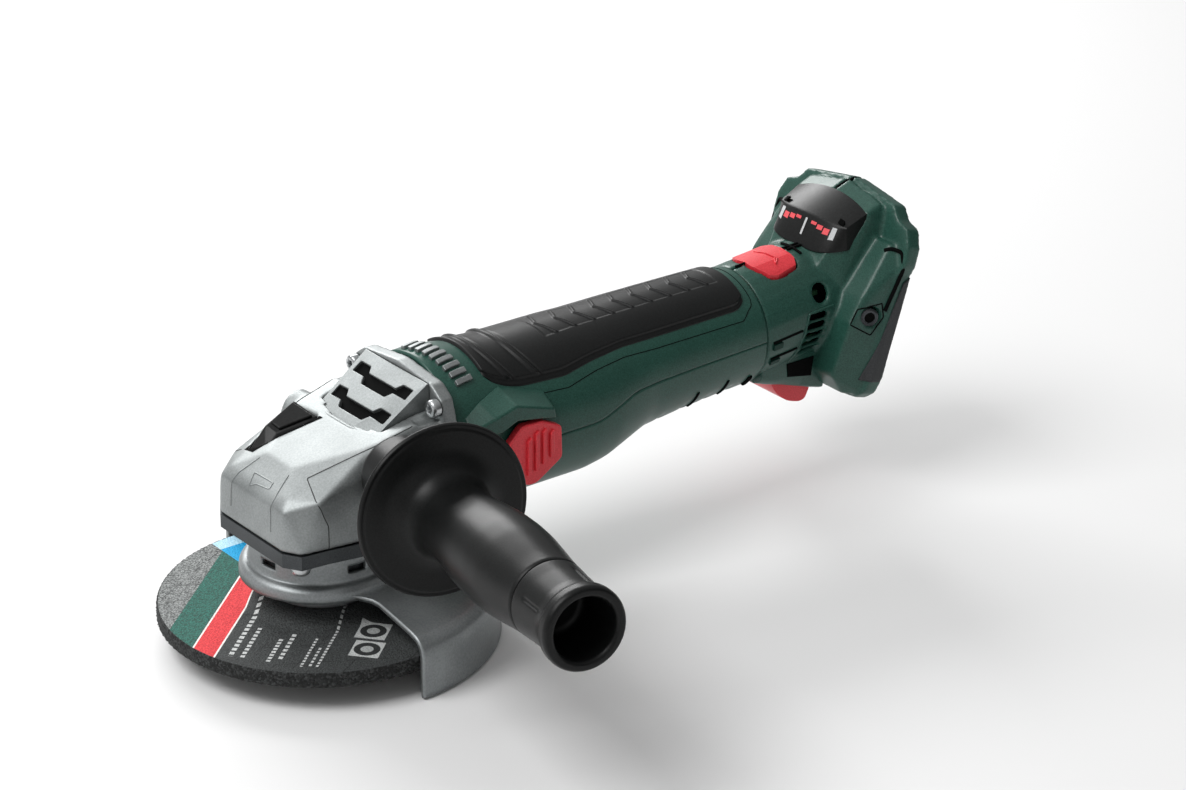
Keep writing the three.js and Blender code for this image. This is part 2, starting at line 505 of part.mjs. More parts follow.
spindleGroup();
guardGroup();
headGroup();
motorGroup();
housingGroup();
rearGroup();
handleGroup();

export default grinder;
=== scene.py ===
# %% [markdown]
# # A battery angle grinder, dressed over its mechanical frame
# The solids of this tool were made first, as exact CAD: every node has a name, rides on a body and may
# move on a joint. Here each of them gets its looks. A node whose shape is already right only gets a
# finish. A node whose edges or curves need more keeps its place in the frame, and a finer piece stands
# for it. All lengths below are millimetres, turned to metres once, when a mesh is made.

# %% Load the frame
import json
import math

import bmesh
import bpy
import numpy as np
from mathutils import Matrix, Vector
from mathutils.bvhtree import BVHTree


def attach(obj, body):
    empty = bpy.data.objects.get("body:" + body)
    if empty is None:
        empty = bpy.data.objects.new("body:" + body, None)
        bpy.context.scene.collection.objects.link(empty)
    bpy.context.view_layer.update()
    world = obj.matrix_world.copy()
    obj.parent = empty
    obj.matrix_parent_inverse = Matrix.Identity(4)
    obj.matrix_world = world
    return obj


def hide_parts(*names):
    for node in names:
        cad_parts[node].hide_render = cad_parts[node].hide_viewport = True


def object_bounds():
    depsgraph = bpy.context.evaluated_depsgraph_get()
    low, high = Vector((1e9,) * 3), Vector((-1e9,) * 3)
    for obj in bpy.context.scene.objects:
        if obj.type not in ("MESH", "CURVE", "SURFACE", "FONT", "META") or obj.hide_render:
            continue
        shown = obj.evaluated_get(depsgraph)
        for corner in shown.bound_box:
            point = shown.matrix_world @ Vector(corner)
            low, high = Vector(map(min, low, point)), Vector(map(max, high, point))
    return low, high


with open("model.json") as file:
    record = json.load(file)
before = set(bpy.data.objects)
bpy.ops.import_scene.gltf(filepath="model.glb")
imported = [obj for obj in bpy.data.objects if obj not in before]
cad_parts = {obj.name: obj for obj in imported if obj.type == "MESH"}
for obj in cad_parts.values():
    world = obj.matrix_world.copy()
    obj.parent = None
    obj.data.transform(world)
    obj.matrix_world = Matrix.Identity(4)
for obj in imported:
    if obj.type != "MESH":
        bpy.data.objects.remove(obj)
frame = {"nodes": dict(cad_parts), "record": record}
NODES = frame["nodes"]
BODY = {n: body for body, names in frame["record"]["behaviour"]["bodies"].items() for n in names}
SLOT = {part["node"]: part["material_slot"] for part in frame["record"]["subparts"]}
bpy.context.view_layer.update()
MM = 0.001
SIDES = ((-1, "left"), (1, "right"))  # the sign of y, and the word that names pieces on that side

# %% [markdown]
# ## The camera
# A long lens far away, as in a catalogue: it keeps the barrel from shrinking towards its rear. The eye
# and the aim are points of the frame, and the small roll turns the picture about the line of sight.

# %% Camera
EYE = np.array([-638.7, -984.9, 620.3])
AIM = np.array([128.02, 0.0, 54.08])
ROLL = math.radians(0.39)
LENS, SENSOR = 106.6, 36


def placed(name, data):
    """A new object with this data, linked to the scene."""
    thing = bpy.data.objects.new(name, data)
    bpy.context.scene.collection.objects.link(thing)
    return thing


def stood(thing, axes, at):
    """Puts a thing at a point in metres, its own X, Y and Z along the three columns of axes."""
    matrix = np.eye(4)
    matrix[:3, :3], matrix[:3, 3] = axes, at
    thing.matrix_world = Matrix(matrix.tolist())


def place_camera():
    """The camera looks down its own -Z: Z is the unit vector from aim to eye, X is (world up) x Z, Y is
    Z x X, and the roll mixes X and Y by its cosine and sine."""
    back = (EYE - AIM) / np.linalg.norm(EYE - AIM)
    right = np.cross([0, 0, 1], back)
    right /= np.linalg.norm(right)
    up = np.cross(back, right)
    x = right * math.cos(ROLL) + up * math.sin(ROLL)
    y = up * math.cos(ROLL) - right * math.sin(ROLL)
    data = bpy.data.cameras.new("catalogue_camera")
    data.lens, data.sensor_width = LENS, SENSOR
    camera = placed("catalogue_camera", data)
    stood(camera, np.column_stack([x, y, back]), EYE * MM)
    bpy.context.scene.camera = camera


place_camera()
print("camera", round(float(np.linalg.norm(EYE - AIM))), "mm from its aim")

# %% [markdown]
# ## Small helpers
# A finish is a chain of shader nodes, so one function adds a node with its settings and links. A shape
# is a grid of points worked out with numpy, so one function turns a grid into a mesh.

# %% Helpers for finishes


def tone(code):
    """An sRGB hex code as a linear colour: c / 12.92 up to 0.04045, above it ((c + 0.055) / 1.055) ** 2.4."""
    c = np.array([int(code[i:i + 2], 16) for i in (1, 3, 5)]) / 255
    c = np.where(c <= 0.04045, c / 12.92, ((c + 0.055) / 1.055) ** 2.4)
    return (*map(float, c), 1.0)


def put(tree, kind, settings=None, links=None):
    """Adds one shader node. A setting is one of its properties or the value of a socket, a link is where a
    socket's value comes from."""
    made = tree.nodes.new("ShaderNode" + kind)
    for key, value in (settings or {}).items():
        if isinstance(key, str) and hasattr(made, key):
            setattr(made, key, value)
        else:
            made.inputs[key].default_value = value
    for key, source in (links or {}).items():
        tree.links.new(source, made.inputs[key])
    return made


def start_finish(name):
    material = bpy.data.materials.new(name)
    material.use_nodes = True
    tree = material.node_tree
    tree.nodes.clear()
    place = put(tree, "TexCoord").outputs["Object"]
    return material, tree, place


def per_mm(size):
    """The scale of a pattern whose cells are size millimetres wide."""
    return 1 / (size * MM)


def noise(tree, place, size, detail, roughness=0.5):
    """A noise whose grains are size millimetres wide."""
    return put(tree, "TexNoise", {"Scale": per_mm(size), "Detail": detail, "Roughness": roughness},
               {"Vector": place}).outputs[0]


def ranged(tree, value, low, high, to_low=0.0, to_high=1.0):
    """The value carried from low...high to to_low...to_high, and held there beyond them."""
    return put(tree, "MapRange", {"From Min": low, "From Max": high, "To Min": to_low, "To Max": to_high},
               {"Value": value}).outputs[0]


# %% Helpers for shapes


def rows_of(items, field, width=3, kind=float):
    """One field of all a mesh's points, edges or faces, a row each."""
    flat = np.zeros(len(items) * width, kind)
    items.foreach_get(field, flat)
    return flat.reshape(-1, width)


def shape(name, points, faces, sharp=35, closed=True):
    """A mesh from points or a grid of them, in millimetres. Doubles are merged and edges sharper than the
    angle stay sharp. A closed shape has its faces turned outwards. An open sheet is turned so that the sum
    over its faces of area x normal . (face centre - mean centre) is positive, which is outwards for a sheet
    that wraps a middle."""
    mesh = bpy.data.meshes.new(name)
    points = np.asarray(points, float).reshape(-1, 3) * MM
    mesh.from_pydata(points.tolist(), [], [list(map(int, f)) for f in faces])
    work = bmesh.new()
    work.from_mesh(mesh)
    bmesh.ops.remove_doubles(work, verts=work.verts, dist=2e-6)
    bmesh.ops.delete(work, geom=[v for v in work.verts if not v.link_faces], context="VERTS")
    bmesh.ops.recalc_face_normals(work, faces=work.faces)
    work.to_mesh(mesh)
    work.free()
    if not closed:
        centre, normal = rows_of(mesh.polygons, "center"), rows_of(mesh.polygons, "normal")
        if (rows_of(mesh.polygons, "area", 1) * normal * (centre - centre.mean(0))).sum() < 0:
            mesh.flip_normals()
    mesh.shade_smooth()
    mesh.set_sharp_from_angle(angle=math.radians(sharp))
    return placed(name, mesh)


def quads(rows, columns, around=False, keep=None):
    """The faces of a grid: each joins point (i, j) to (i+1, j), (i+1, j+1) and (i, j+1). Around closes
    the columns on themselves, and keep says which faces stay."""
    i = np.arange(rows - 1)[:, None]
    j = np.arange(columns if around else columns - 1)[None, :]
    k = (j + 1) % columns
    faces = np.stack([i * columns + j, (i + 1) * columns + j, (i + 1) * columns + k, i * columns + k], -1)
    return faces[keep] if keep is not None else faces.reshape(-1, 4)


def sheet(name, grid, around=False, keep=None, sharp=35):
    """An open surface through a grid of points."""
    return shape(name, grid, quads(*grid.shape[:2], around, keep), sharp, closed=False)


def tube(rows, columns):
    """The faces of a grid closed round its columns, with a lid on its first row and one on its last."""
    lids = [list(range(columns)), list(range((rows - 1) * columns, rows * columns))]
    return [list(face) for face in quads(rows, columns, True)] + lids


def torus(rows, columns):
    """The faces of a grid closed round its columns, whose last row meets its first again."""
    j = np.arange(columns)
    k, last = (j + 1) % columns, (rows - 1) * columns
    return np.vstack([quads(rows, columns, True), np.stack([last + j, j, k, last + k], -1)])


def prism(n):
    """The faces between an outline of n points and the same outline moved: the walls and both ends."""
    walls = [[i, (i + 1) % n, n + (i + 1) % n, n + i] for i in range(n)]
    return walls + [list(range(n)), list(range(n, 2 * n))]


def ramp(start, stop, t):
    """0 up to start, 1 from stop on, and between them s^2 (3 - 2s), s being the share of the way."""
    s = np.clip((t - start) / (stop - start), 0, 1)
    return s * s * (3 - 2 * s)


def blend(corners, u, v):
    """The point between four corners taken in turn, u from the first to the last, v to the second."""
    a, b, c, d = corners
    return (a * (1 - u) + d * u) * (1 - v) + (b * (1 - u) + c * u) * v


def denser(path, cuts):
    """The same path with every stretch cut into equal parts."""
    stretches = [np.linspace(a, b, cuts + 1)[:-1] for a, b in zip(path[:-1], path[1:])]
    return np.concatenate(stretches + [path[-1:]])


def eased(path, radius, steps=5, closed=False):
    """Rounds a path's corners. Corner P gives way to a curve from P + r(A - P)/|A - P| to
    P + r(B - P)/|B - P|, where A and B are its neighbours: (1-t)^2 start + 2t(1-t) P + t^2 end. r is at most
    0.45 of either side."""
    corner = np.asarray(path, float)
    before, after = np.roll(corner, 1, 0) - corner, np.roll(corner, -1, 0) - corner
    back, ahead = np.linalg.norm(before, axis=1), np.linalg.norm(after, axis=1)
    r = np.minimum(radius, 0.45 * np.minimum(back, ahead))[:, None]
    start, end = corner + before / back[:, None] * r, corner + after / ahead[:, None] * r
    t = np.linspace(0, 1, steps)[None, :, None]
    curve = (1 - t) ** 2 * start[:, None] + 2 * t * (1 - t) * corner[:, None] + t**2 * end[:, None]
    if closed:
        return curve.reshape(-1, corner.shape[1])
    return np.vstack([corner[:1], curve[1:-1].reshape(-1, corner.shape[1]), corner[-1:]])


def turned(profile, steps, start=0.0, sweep=2 * math.pi):
    """A profile of (radius, height) carried round Z: x = r cos a, y = r sin a, z = height. A full turn
    leaves its last column out, which would lie on its first."""
    full = abs(sweep - 2 * math.pi) < 1e-9
    a = start + np.linspace(0, sweep, steps, endpoint=not full)
    r, z = np.asarray(profile, float).T
    return np.stack([np.outer(r, np.cos(a)), np.outer(r, np.sin(a)), np.repeat(z[:, None], steps, 1)], -1)


def frame_along(direction):
    """Three unit columns, the last of which is the direction."""
    z = np.asarray(direction, float) / np.linalg.norm(direction)
    x = np.cross([0, 0, 1.0] if abs(z[2]) < 0.9 else [1.0, 0, 0], z)
    x /= np.linalg.norm(x)
    return np.column_stack([x, np.cross(z, x), z])


def dressed(piece, material, node=None, body=None):
    """Gives a piece its finish and its body; with a node named it stands for that CAD node."""
    piece.data.materials.clear()
    piece.data.materials.append(material)
    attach(piece, body or BODY[node])
    if node:
        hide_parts(node)
    return piece


def on_tool(piece, material):
    """An extra piece on the part of the tool that stays put."""
    return dressed(piece, material, body="tool_body")


def on_rear(piece, material):
    """An extra piece on the rear housing, which turns."""
    return dressed(piece, material, body="rear_housing")


def bevelled(piece, width, segments=3, angle=30):
    """A small round on every edge sharper than the angle, with normals that keep the flats flat."""
    bevel = piece.modifiers.new("eased_edges", "BEVEL")
    bevel.width, bevel.segments, bevel.limit_method = width * MM, segments, "ANGLE"
    bevel.angle_limit, bevel.harden_normals, bevel.use_clamp_overlap = math.radians(angle), True, True
    bevel.miter_outer = "MITER_ARC"
    return piece


def thickened(piece, wall):
    """A sheet becomes a wall that grows inwards from it."""
    solid = piece.modifiers.new("wall", "SOLIDIFY")
    solid.thickness, solid.offset, solid.use_even_offset = wall * MM, -1, True
    return piece


# %% [markdown]
# ## The finishes
# Each one starts from what the real surface is. Moulded nylon carries the fine sparkle of its
# spark-eroded mould, cast aluminium is blasted and lacquered, the guard is rolled steel, and the disc is
# coarse grit in black resin.

# %% Moulded plastics


def end_finish(tree, colour, roughness, swing, glossed_by, raised_by, strength, relief, settings):
    """The end of every finish. The roughness swings about its middle with one pattern, and another raises
    the surface by at most relief."""
    gloss = ranged(tree, glossed_by, 0, 1, roughness - swing, roughness + swing)
    bump = put(tree, "Bump", {"Strength": strength, "Distance": relief * MM}, {"Height": raised_by})
    skin = put(tree, "BsdfPrincipled", settings,
               {"Base Color": colour, "Roughness": gloss, "Normal": bump.outputs[0]})
    put(tree, "OutputMaterial", links={"Surface": skin.outputs[0]})


def mixed(tree, dark, light, share):
    """The colour between dark and light that the share says."""
    return put(tree, "Mix", {"data_type": "RGBA", 6: tone(dark), 7: tone(light)},
               {"Factor": share}).outputs[2]


def moulded(name, light, dark, roughness, grain=0.55, relief=0.03, drift=0.1, specular=0.4):
    """Moulded plastic. The mould's eroded steel prints grains that scatter the light: the colour runs from
    dark to light with one noise, a second, 40 mm wide, lets the whole tone drift, and the grains raise the
    surface."""
    material, tree, place = start_finish(name)
    grains = noise(tree, place, grain, 2.0, 0.6)
    shade = ranged(tree, noise(tree, place, 40, 3.0), 0.3, 0.7, 1 - drift, 1 + drift)
    tinted = put(tree, "VectorMath", {"operation": "SCALE"},
                 {0: mixed(tree, dark, light, ranged(tree, grains, 0.34, 0.66)), "Scale": shade})
    end_finish(tree, tinted.outputs[0], roughness, 0.07, grains, grains, 0.6, relief,
               {"IOR": 1.5, "Specular IOR Level": specular})
    return material


green_nylon = moulded("glass_filled_green_nylon", "#2a5247", "#1a3e35", 0.35, specular=0.38)
black_nylon = moulded("glass_filled_black_nylon", "#141515", "#090a0a", 0.38, relief=0.035, specular=0.2)
dark_cover = moulded("smooth_black_abs", "#141515", "#0b0c0c", 0.34, grain=0.8, relief=0.012, specular=0.22)
black_rubber = moulded("soft_black_grip_rubber", "#191a1a", "#0e0f0f", 0.42, grain=0.5, relief=0.02,
                       drift=0.06, specular=0.22)
red_acetal = moulded("red_acetal", "#e03a44", "#cc2a34", 0.4, grain=0.6, relief=0.012, drift=0.05)
grey_rubber = moulded("dark_grey_bumper_rubber", "#333537", "#28292b", 0.62, grain=0.6, relief=0.02)
green_board = moulded("potted_circuit_board", "#2f5b3d", "#1f4029", 0.5, grain=1.4, relief=0.06)
# Near-black: it draws dark joint lines, and it is also painted shade laid into pockets, slots, openings and
# the neck's inside.
joint_shadow = moulded("shadow_in_a_joint", "#0b0c0c", "#050505", 0.8, relief=0.0, specular=0.05)
# A darker copy of the green nylon: painted shade for the recessed index pads.
shaded_green = moulded("green_nylon_in_shade", "#173a31", "#0f2a23", 0.5, relief=0.0, specular=0.15)
mark_red = moulded("printed_red", "#e6555c", "#d8444c", 0.45, relief=0.0)
mark_grey = moulded("printed_pale_grey", "#c5c8c9", "#b5b8b9", 0.45, relief=0.0)
print("plastics ready")

# %% Metals


def metal(name, light, dark, roughness, metallic=1.0, grain=0.5, stretch=(1, 1, 1), relief=0.01):
    """Metal. Its grain is a noise, stretched where the surface was rolled or turned, and a cloud 18 mm wide
    lets the brightness wander a little as lacquer and handling do."""
    material, tree, place = start_finish(name)
    laid = put(tree, "Mapping", {"Scale": stretch}, {"Vector": place}).outputs[0]
    grains = noise(tree, laid, grain, 3.0)
    both = put(tree, "Math", {"operation": "ADD"}, {0: grains, 1: noise(tree, place, 18, 2.0)}).outputs[0]
    end_finish(tree, mixed(tree, dark, light, ranged(tree, both, 0.75, 1.25)), roughness, 0.06, both, grains,
               0.5, relief, {"Metallic": metallic})
    return material


cast_alloy = metal("lacquered_cast_aluminium", "#989c9c", "#828686", 0.43, metallic=0.82, grain=0.7,
                   relief=0.02)
guard_sheet = metal("pressed_galvanised_sheet", "#979b9c", "#828687", 0.4, metallic=0.8, grain=0.8)
ground_steel = metal("ground_steel", "#c9cbcc", "#a9acad", 0.24, grain=0.4, stretch=(1, 1, 6))
black_steel = metal("blackened_steel", "#4b4d50", "#36383a", 0.36, grain=0.5)
copper_wire = metal("enamelled_copper", "#b8703c", "#8d4f28", 0.35, grain=0.9, stretch=(6, 1, 1))
cover_casting = metal("dark_lacquered_casting", "#4c4f51", "#3a3d3f", 0.42, metallic=0.75)
cast_shadow = metal("shadow_in_a_cast_groove", "#3a3c3c", "#2a2c2c", 0.6, metallic=0.3)
print("metals ready")

# %% [markdown]
# ## The disc's finish
# Bonded grit looks like coarse asphalt: pale crystals in black resin. On its top lies a printed paper
# label, whose bands run at 40.5 degrees, and the weave of the glass mesh under it shows as faint dark
# lines. What is printed small is only suggested, by rows of dashes and two plain squares.

# %% Grit and label


BAND_ANGLE = 40.5
LABEL_HEIGHT, LABEL_RADIUS = 6.9, 61.4  # the label is whatever lies above this height, within this radius
BANDS = [(35.1, 47.2, "#173f36", "#34776a"), (24.6, 34.9, "#e8e6e2", "#f4f2ee"),
         (25.3, 34.2, "#c4262f", "#ee4a4e")]  # low and high w, and the ink's dark and light
DASHES = [(18.6, 20.4, -54, -13, 3.1), (14.2, 15.8, -55, -31, 2.7), (4.2, 5.8, -55, -37, 2.3),
          (0.4, 2.0, -53, -32, 2.9), (-8.2, -7.2, -56, -34, 2.1), (-11.3, -10.3, -55.5, -40, 2.5),
          (-13.9, -12.9, -55.5, -15, 2.2)]  # low and high w, start and stop in u, and the pitch
SQUARES = [(-33.2, -22.0, -44.2, -32.2), (-32.0, -20.5, -30.4, -18.0)]  # low and high w, low and high u


def grit_and_label():
    """u runs along the printed bands and w across them: u = x cos a + y sin a, w = y cos a - x sin a, in
    millimetres, a = 40.5 degrees. A band is where |w - middle| is under half its width."""
    material, tree, place = start_finish("resin_bonded_grit_with_paper_label")
    sized = put(tree, "VectorMath", {"operation": "SCALE", "Scale": 1000.0}, {0: place})
    turn = put(tree, "VectorRotate", {"rotation_type": "Z_AXIS", "Angle": math.radians(-BAND_ANGLE)},
               {"Vector": sized.outputs[0]})
    u, w, _ = put(tree, "SeparateXYZ", links={0: turn.outputs[0]}).outputs
    x, y, z = put(tree, "SeparateXYZ", links={0: sized.outputs[0]}).outputs

    def step(operation, *inputs):
        """One step of arithmetic on numbers and sockets."""
        settings, links = {"operation": operation}, {}
        for k, value in enumerate(inputs):
            (settings if isinstance(value, (int, float)) else links)[k] = value
        return put(tree, "Math", settings, links).outputs[0]

    def above(value, limit):
        return step("GREATER_THAN", value, limit)

    def below(value, limit):
        return step("LESS_THAN", value, limit)

    def between(value, low, high):
        return step("COMPARE", value, (low + high) / 2, (high - low) / 2)

    def length(a, b):
        return step("SQRT", step("ADD", step("MULTIPLY", a, a), step("MULTIPLY", b, b)))

    def both(*masks):
        whole = masks[0]
        for mask in masks[1:]:
            whole = step("MULTIPLY", whole, mask)
        return whole

    grit = put(tree, "TexVoronoi", {"feature": "F1", "Scale": per_mm(0.8)}, {"Vector": place})
    fine = noise(tree, place, 0.6, 2.0)
    crystals = put(tree, "SeparateColor", links={0: grit.outputs["Color"]}).outputs[0]
    stone = mixed(tree, "#131414", "#3a3c3c", ranged(tree, crystals, 0.45, 0.95))
    paper_grain = ranged(tree, fine, 0.35, 0.65)

    def print_over(under, mask, dark, light):
        return put(tree, "Mix", {"data_type": "RGBA"},
                   {"Factor": mask, 6: under, 7: mixed(tree, dark, light, paper_grain)}).outputs[2]

    label = both(above(z, LABEL_HEIGHT), below(length(x, y), LABEL_RADIUS))
    face = print_over(stone, both(label, above(w, 47.2)), "#3e4141", "#a0a3a2")
    face = print_over(face, both(label, below(w, 25.2)), "#292b2b", "#474a4a")
    strand = step("PINGPONG", step("ADD", u, step("MULTIPLY", w, 0.35)), 7.0)
    other = step("PINGPONG", step("ADD", w, step("MULTIPLY", u, 0.22)), 9.0)
    broken = above(noise(tree, place, 9, 1.0), 0.52)
    mesh = both(label, step("MAXIMUM", below(strand, 0.28), below(other, 0.28)), broken)
    face = print_over(face, step("MULTIPLY", mesh, 0.6), "#151616", "#232424")
    for low, high, dark, light in BANDS:
        face = print_over(face, both(label, between(w, low, high)), dark, light)
    sky = both(label, above(x, -10.8), above(y, 0))
    face = print_over(face, sky, "#0f95cf", "#25aee2")
    face = print_over(face, both(sky, above(y, 54.2)), "#a9d8ee", "#c4e6f5")
    for low, high, start, stop, pitch in DASHES:
        dash = below(step("FLOORED_MODULO", u, pitch), pitch * 0.62)
        face = print_over(face, both(label, dash, between(w, low, high), between(u, start, stop)),
                          "#b9bcbb", "#d8dad9")
    for low, high, start, stop in SQUARES:
        square = both(label, between(w, low, high), between(u, start, stop))
        away = length(step("SUBTRACT", u, (start + stop) / 2), step("SUBTRACT", w, (low + high) / 2))
        face = print_over(face, square, "#b4b7b6", "#cfd1d0")
        face = print_over(face, both(square, below(away, 4.9)), "#202222", "#303232")
        face = print_over(face, both(square, below(away, 2.4)), "#9da09f", "#b6b9b8")
    height = step("ADD", step("MULTIPLY", grit.outputs["Distance"], -1.0), fine)
    end_finish(tree, face, 0.77, 0.15, fine, height, 0.9, 0.35, {"IOR": 1.5, "Specular IOR Level": 0.4})
    return material


disc_face = grit_and_label()
print("the disc's finish has", len(disc_face.node_tree.nodes), "nodes")

# %% [markdown]
# ## Nodes that keep their CAD shape
# Gears, bearings, motor and boards sit inside, and their solids are already as detailed as they need to
# be. They stay as they are and only get a finish.

# %% Finishes on the CAD nodes
FINISH = {
    "cast": cast_alloy, "dark_plastic": dark_cover, "green_plastic": green_nylon,
    "black_rubber": black_rubber, "red_plastic": red_acetal,
    "steel": ground_steel, "dark_steel": black_steel, "guard_steel": guard_sheet,
    "abrasive": disc_face, "copper": copper_wire, "board": green_board,
}
for node, thing in NODES.items():
    thing.data.materials.clear()
    thing.data.materials.append(FINISH[SLOT[node]])
print(len(FINISH), "finishes for", len(NODES), "nodes")

# %% [markdown]
# ## Castings and mouldings with flat faces
# The gear case, its vent, the cover under it and the rear housing are facets that meet in crisp but not
# sharp edges. A copy of each solid is merged and its flat faces are joined into single polygons. On the
# vent, the cover and the two buttons a Bevel rounds the edges by a fraction of a millimetre, so that each
# edge catches the light; the gear case and the rear shells are built again from even cells and smoothed.

# %% Eased copies


def flattened(node, name):
    """A copy of a node's mesh whose flat faces are joined into single polygons."""
    mesh = NODES[node].data.copy()
    mesh.name = name
    work = bmesh.new()
    work.from_mesh(mesh)
    bmesh.ops.remove_doubles(work, verts=work.verts, dist=1e-5)
    bmesh.ops.dissolve_limit(work, angle_limit=math.radians(1.2), verts=work.verts, edges=work.edges)
    work.to_mesh(mesh)
    work.free()
    return mesh


def eased_copy(node, width, material, angle=30):
    """A flattened copy whose edges sharper than the angle get a small round."""
    mesh = flattened(node, f"{node}_eased")
    mesh.shade_smooth()
    mesh.set_sharp_from_angle(angle=math.radians(angle))
    return dressed(bevelled(placed(mesh.name, mesh), width, 3, angle), material, node)


def rounded_copy(node, cell, material, rounds, crisp_from, name):
    """Builds the solid again from even cells, then lets each point move half way to the mean of its
    neighbours, a number of rounds. Beyond crisp_from in x the move fades to a tenth within 8 mm, so pockets
    keep their edges."""
    holder = placed(name, flattened(node, name))
    remesh = holder.modifiers.new("cells", "REMESH")
    remesh.mode, remesh.voxel_size, remesh.use_smooth_shade = "VOXEL", cell * MM, True
    mesh = bpy.data.meshes.new_from_object(holder.evaluated_get(bpy.context.evaluated_depsgraph_get()))
    bpy.data.objects.remove(holder)
    place = rows_of(mesh.vertices, "co")
    first, second = rows_of(mesh.edges, "vertices", 2, int).T
    ends, others = np.concatenate([first, second]), np.concatenate([second, first])
    count = np.bincount(ends, minlength=len(place))[:, None]
    share = 0.5 - 0.4 * np.clip((place[:, :1] / MM - crisp_from) / 8, 0, 1)
    for _ in range(rounds):
        mean = np.stack([np.bincount(ends, place[others, k], len(place)) for k in range(3)], -1) / count
        place = place + share * (mean - place)
    mesh.vertices.foreach_set("co", place.reshape(-1))
    mesh.name = name
    mesh.shade_smooth()
    return dressed(placed(name, mesh), material, node)


NO_CRISP_PART = 400  # a crisp_from beyond the tool's rear end
gear_case = rounded_copy("gear_case", 0.62, cast_alloy, 14, 6, "gear_case_casting")
for node, width, finish, angle in [
        ("vent_panel", 0.45, cast_alloy, 20), ("bearing_cover", 0.4, cover_casting, 30),
        ("spindle_lock_button", 0.6, dark_cover, 14), ("swivel_button", 0.5, red_acetal, 25)]:
    eased_copy(node, width, finish, angle)
REAR_SHELL = {side: rounded_copy(f"rear_shell_{word}", 0.75, green_nylon, 5, NO_CRISP_PART,
                                 f"rear_shell_{word}_moulding") for side, word in SIDES}
print("gear case", len(gear_case.data.polygons), "faces")

# %% [markdown]
# ## The motor housing
# Two shells meet in a fine seam along each side. Their skin is one barrel: at every x it is an ellipse
# between a top, a bottom and a half width, and the seam is a height on that ellipse. The shell above is
# the part of the ellipse over the seam, the one below is the rest. Under the slide switch the barrel is
# cut flat, and across its underside run shallow finger grips.

# %% The barrel's skin
STATIONS = np.array([
    [41.8, 94.2, 26.2, 31.6], [50, 94.6, 25.8, 32], [60, 93.2, 26.8, 31.8], [70, 91.2, 27.8, 31.2],
    [80, 90.6, 29, 30.9], [110, 90.6, 29, 30.6], [120, 90.3, 30.6, 29.8], [130, 90.5, 34.4, 28.2],
    [140, 90.7, 38.2, 26.6], [160, 90.7, 40.1, 25.4], [180, 90.6, 41.5, 24.6], [196.7, 90.3, 42.3, 24]])
SEAM = np.array([[30, 59.5], [108, 59.5], [127, 66], [210, 67]])
HALF_SEAM = 0.15
SWITCH_FLAT = -31.0  # y of the flat that the slide switch lies on
GRIP_PLACES, GRIP_DEPTH = (148, 160, 172, 184), 1.3


def softened(x, xs, values, reach=4.0):
    """Straight lines between stations, averaged over reach on either side, so that no corner is left."""
    shifts = np.linspace(-reach, reach, 9)
    weight = np.cos(shifts / reach * math.pi / 2) ** 2 + 0.05
    return sum(w * np.interp(x + s, xs, values) for w, s in zip(weight, shifts)) / weight.sum()


def section(x):
    """Middle height, half height and half width of the barrel at x."""
    top, bottom, half = (softened(x, STATIONS[:, 0], STATIONS[:, k]) for k in (1, 2, 3))
    return (top + bottom) / 2, (top - bottom) / 2, half


def on_barrel(x, angle, out=0.0):
    """The point at x and at an angle from the top, positive towards +Y, raised by out."""
    middle, high, half = section(x)
    return np.stack([x, (half + out) * np.sin(angle), middle + (high + out) * np.cos(angle)], -1)


def shell_half(name, node, upper):
    """The half of the skin on one side of the seam. The edge is where the ellipse is as high as the seam:
    its angle from the top is acos((seam - middle) / half height)."""
    x = np.linspace(STATIONS[0, 0], STATIONS[-1, 0], 156)
    middle, high, _ = section(x)
    side = HALF_SEAM if upper else -HALF_SEAM - 0.01
    edge = np.arccos(np.clip((softened(x, SEAM[:, 0], SEAM[:, 1], 6) + side - middle) / high, -1, 1))
    share = np.linspace(-1, 1, 97)[None, :]
    angle = edge[:, None] * share if upper else math.pi + (math.pi - edge[:, None]) * share
    grid = on_barrel(np.repeat(x[:, None], 97, 1), angle)
    flat = (grid[..., 0] > 52.5) & (grid[..., 0] < 88.5) & (grid[..., 2] < 74) & (grid[..., 2] > 42)
    grid[..., 1] = np.where(flat, np.maximum(grid[..., 1], SWITCH_FLAT), grid[..., 1])
    if not upper:
        under = np.exp(-((np.abs(angle - math.pi) / 0.75) ** 6))
        grip = sum(np.exp(-(((x - place) / 1.7) ** 4)) for place in GRIP_PLACES)[:, None]
        grid[..., 2] += GRIP_DEPTH * grip * under
    return dressed(thickened(sheet(name, grid), 2.2), green_nylon, node)


upper_shell = shell_half("housing_upper_skin", "housing_upper", True)
lower_shell = shell_half("housing_lower_skin", "housing_lower", False)
print("barrel skins", len(upper_shell.data.polygons), len(lower_shell.data.polygons))

# %% [markdown]
# ## The grip pad
# Soft rubber moulded over the barrel's top. Its skin stands 1.5 mm proud in the middle, drops in a
# step near its edge to a low skirt, and carries two raised ridges in front. Behind them a row of plain
# chevrons stands in a shallow field.

# %% Grip pad
PAD_EDGE = np.array([[61, 19.5], [63, 21.5], [75, 23.4], [96, 24], [112, 22], [125, 20.6], [160, 19.6],
                     [186, 19], [190, 17.5]])
PAD_FRONT, PAD_REAR = 60.8, 190.3


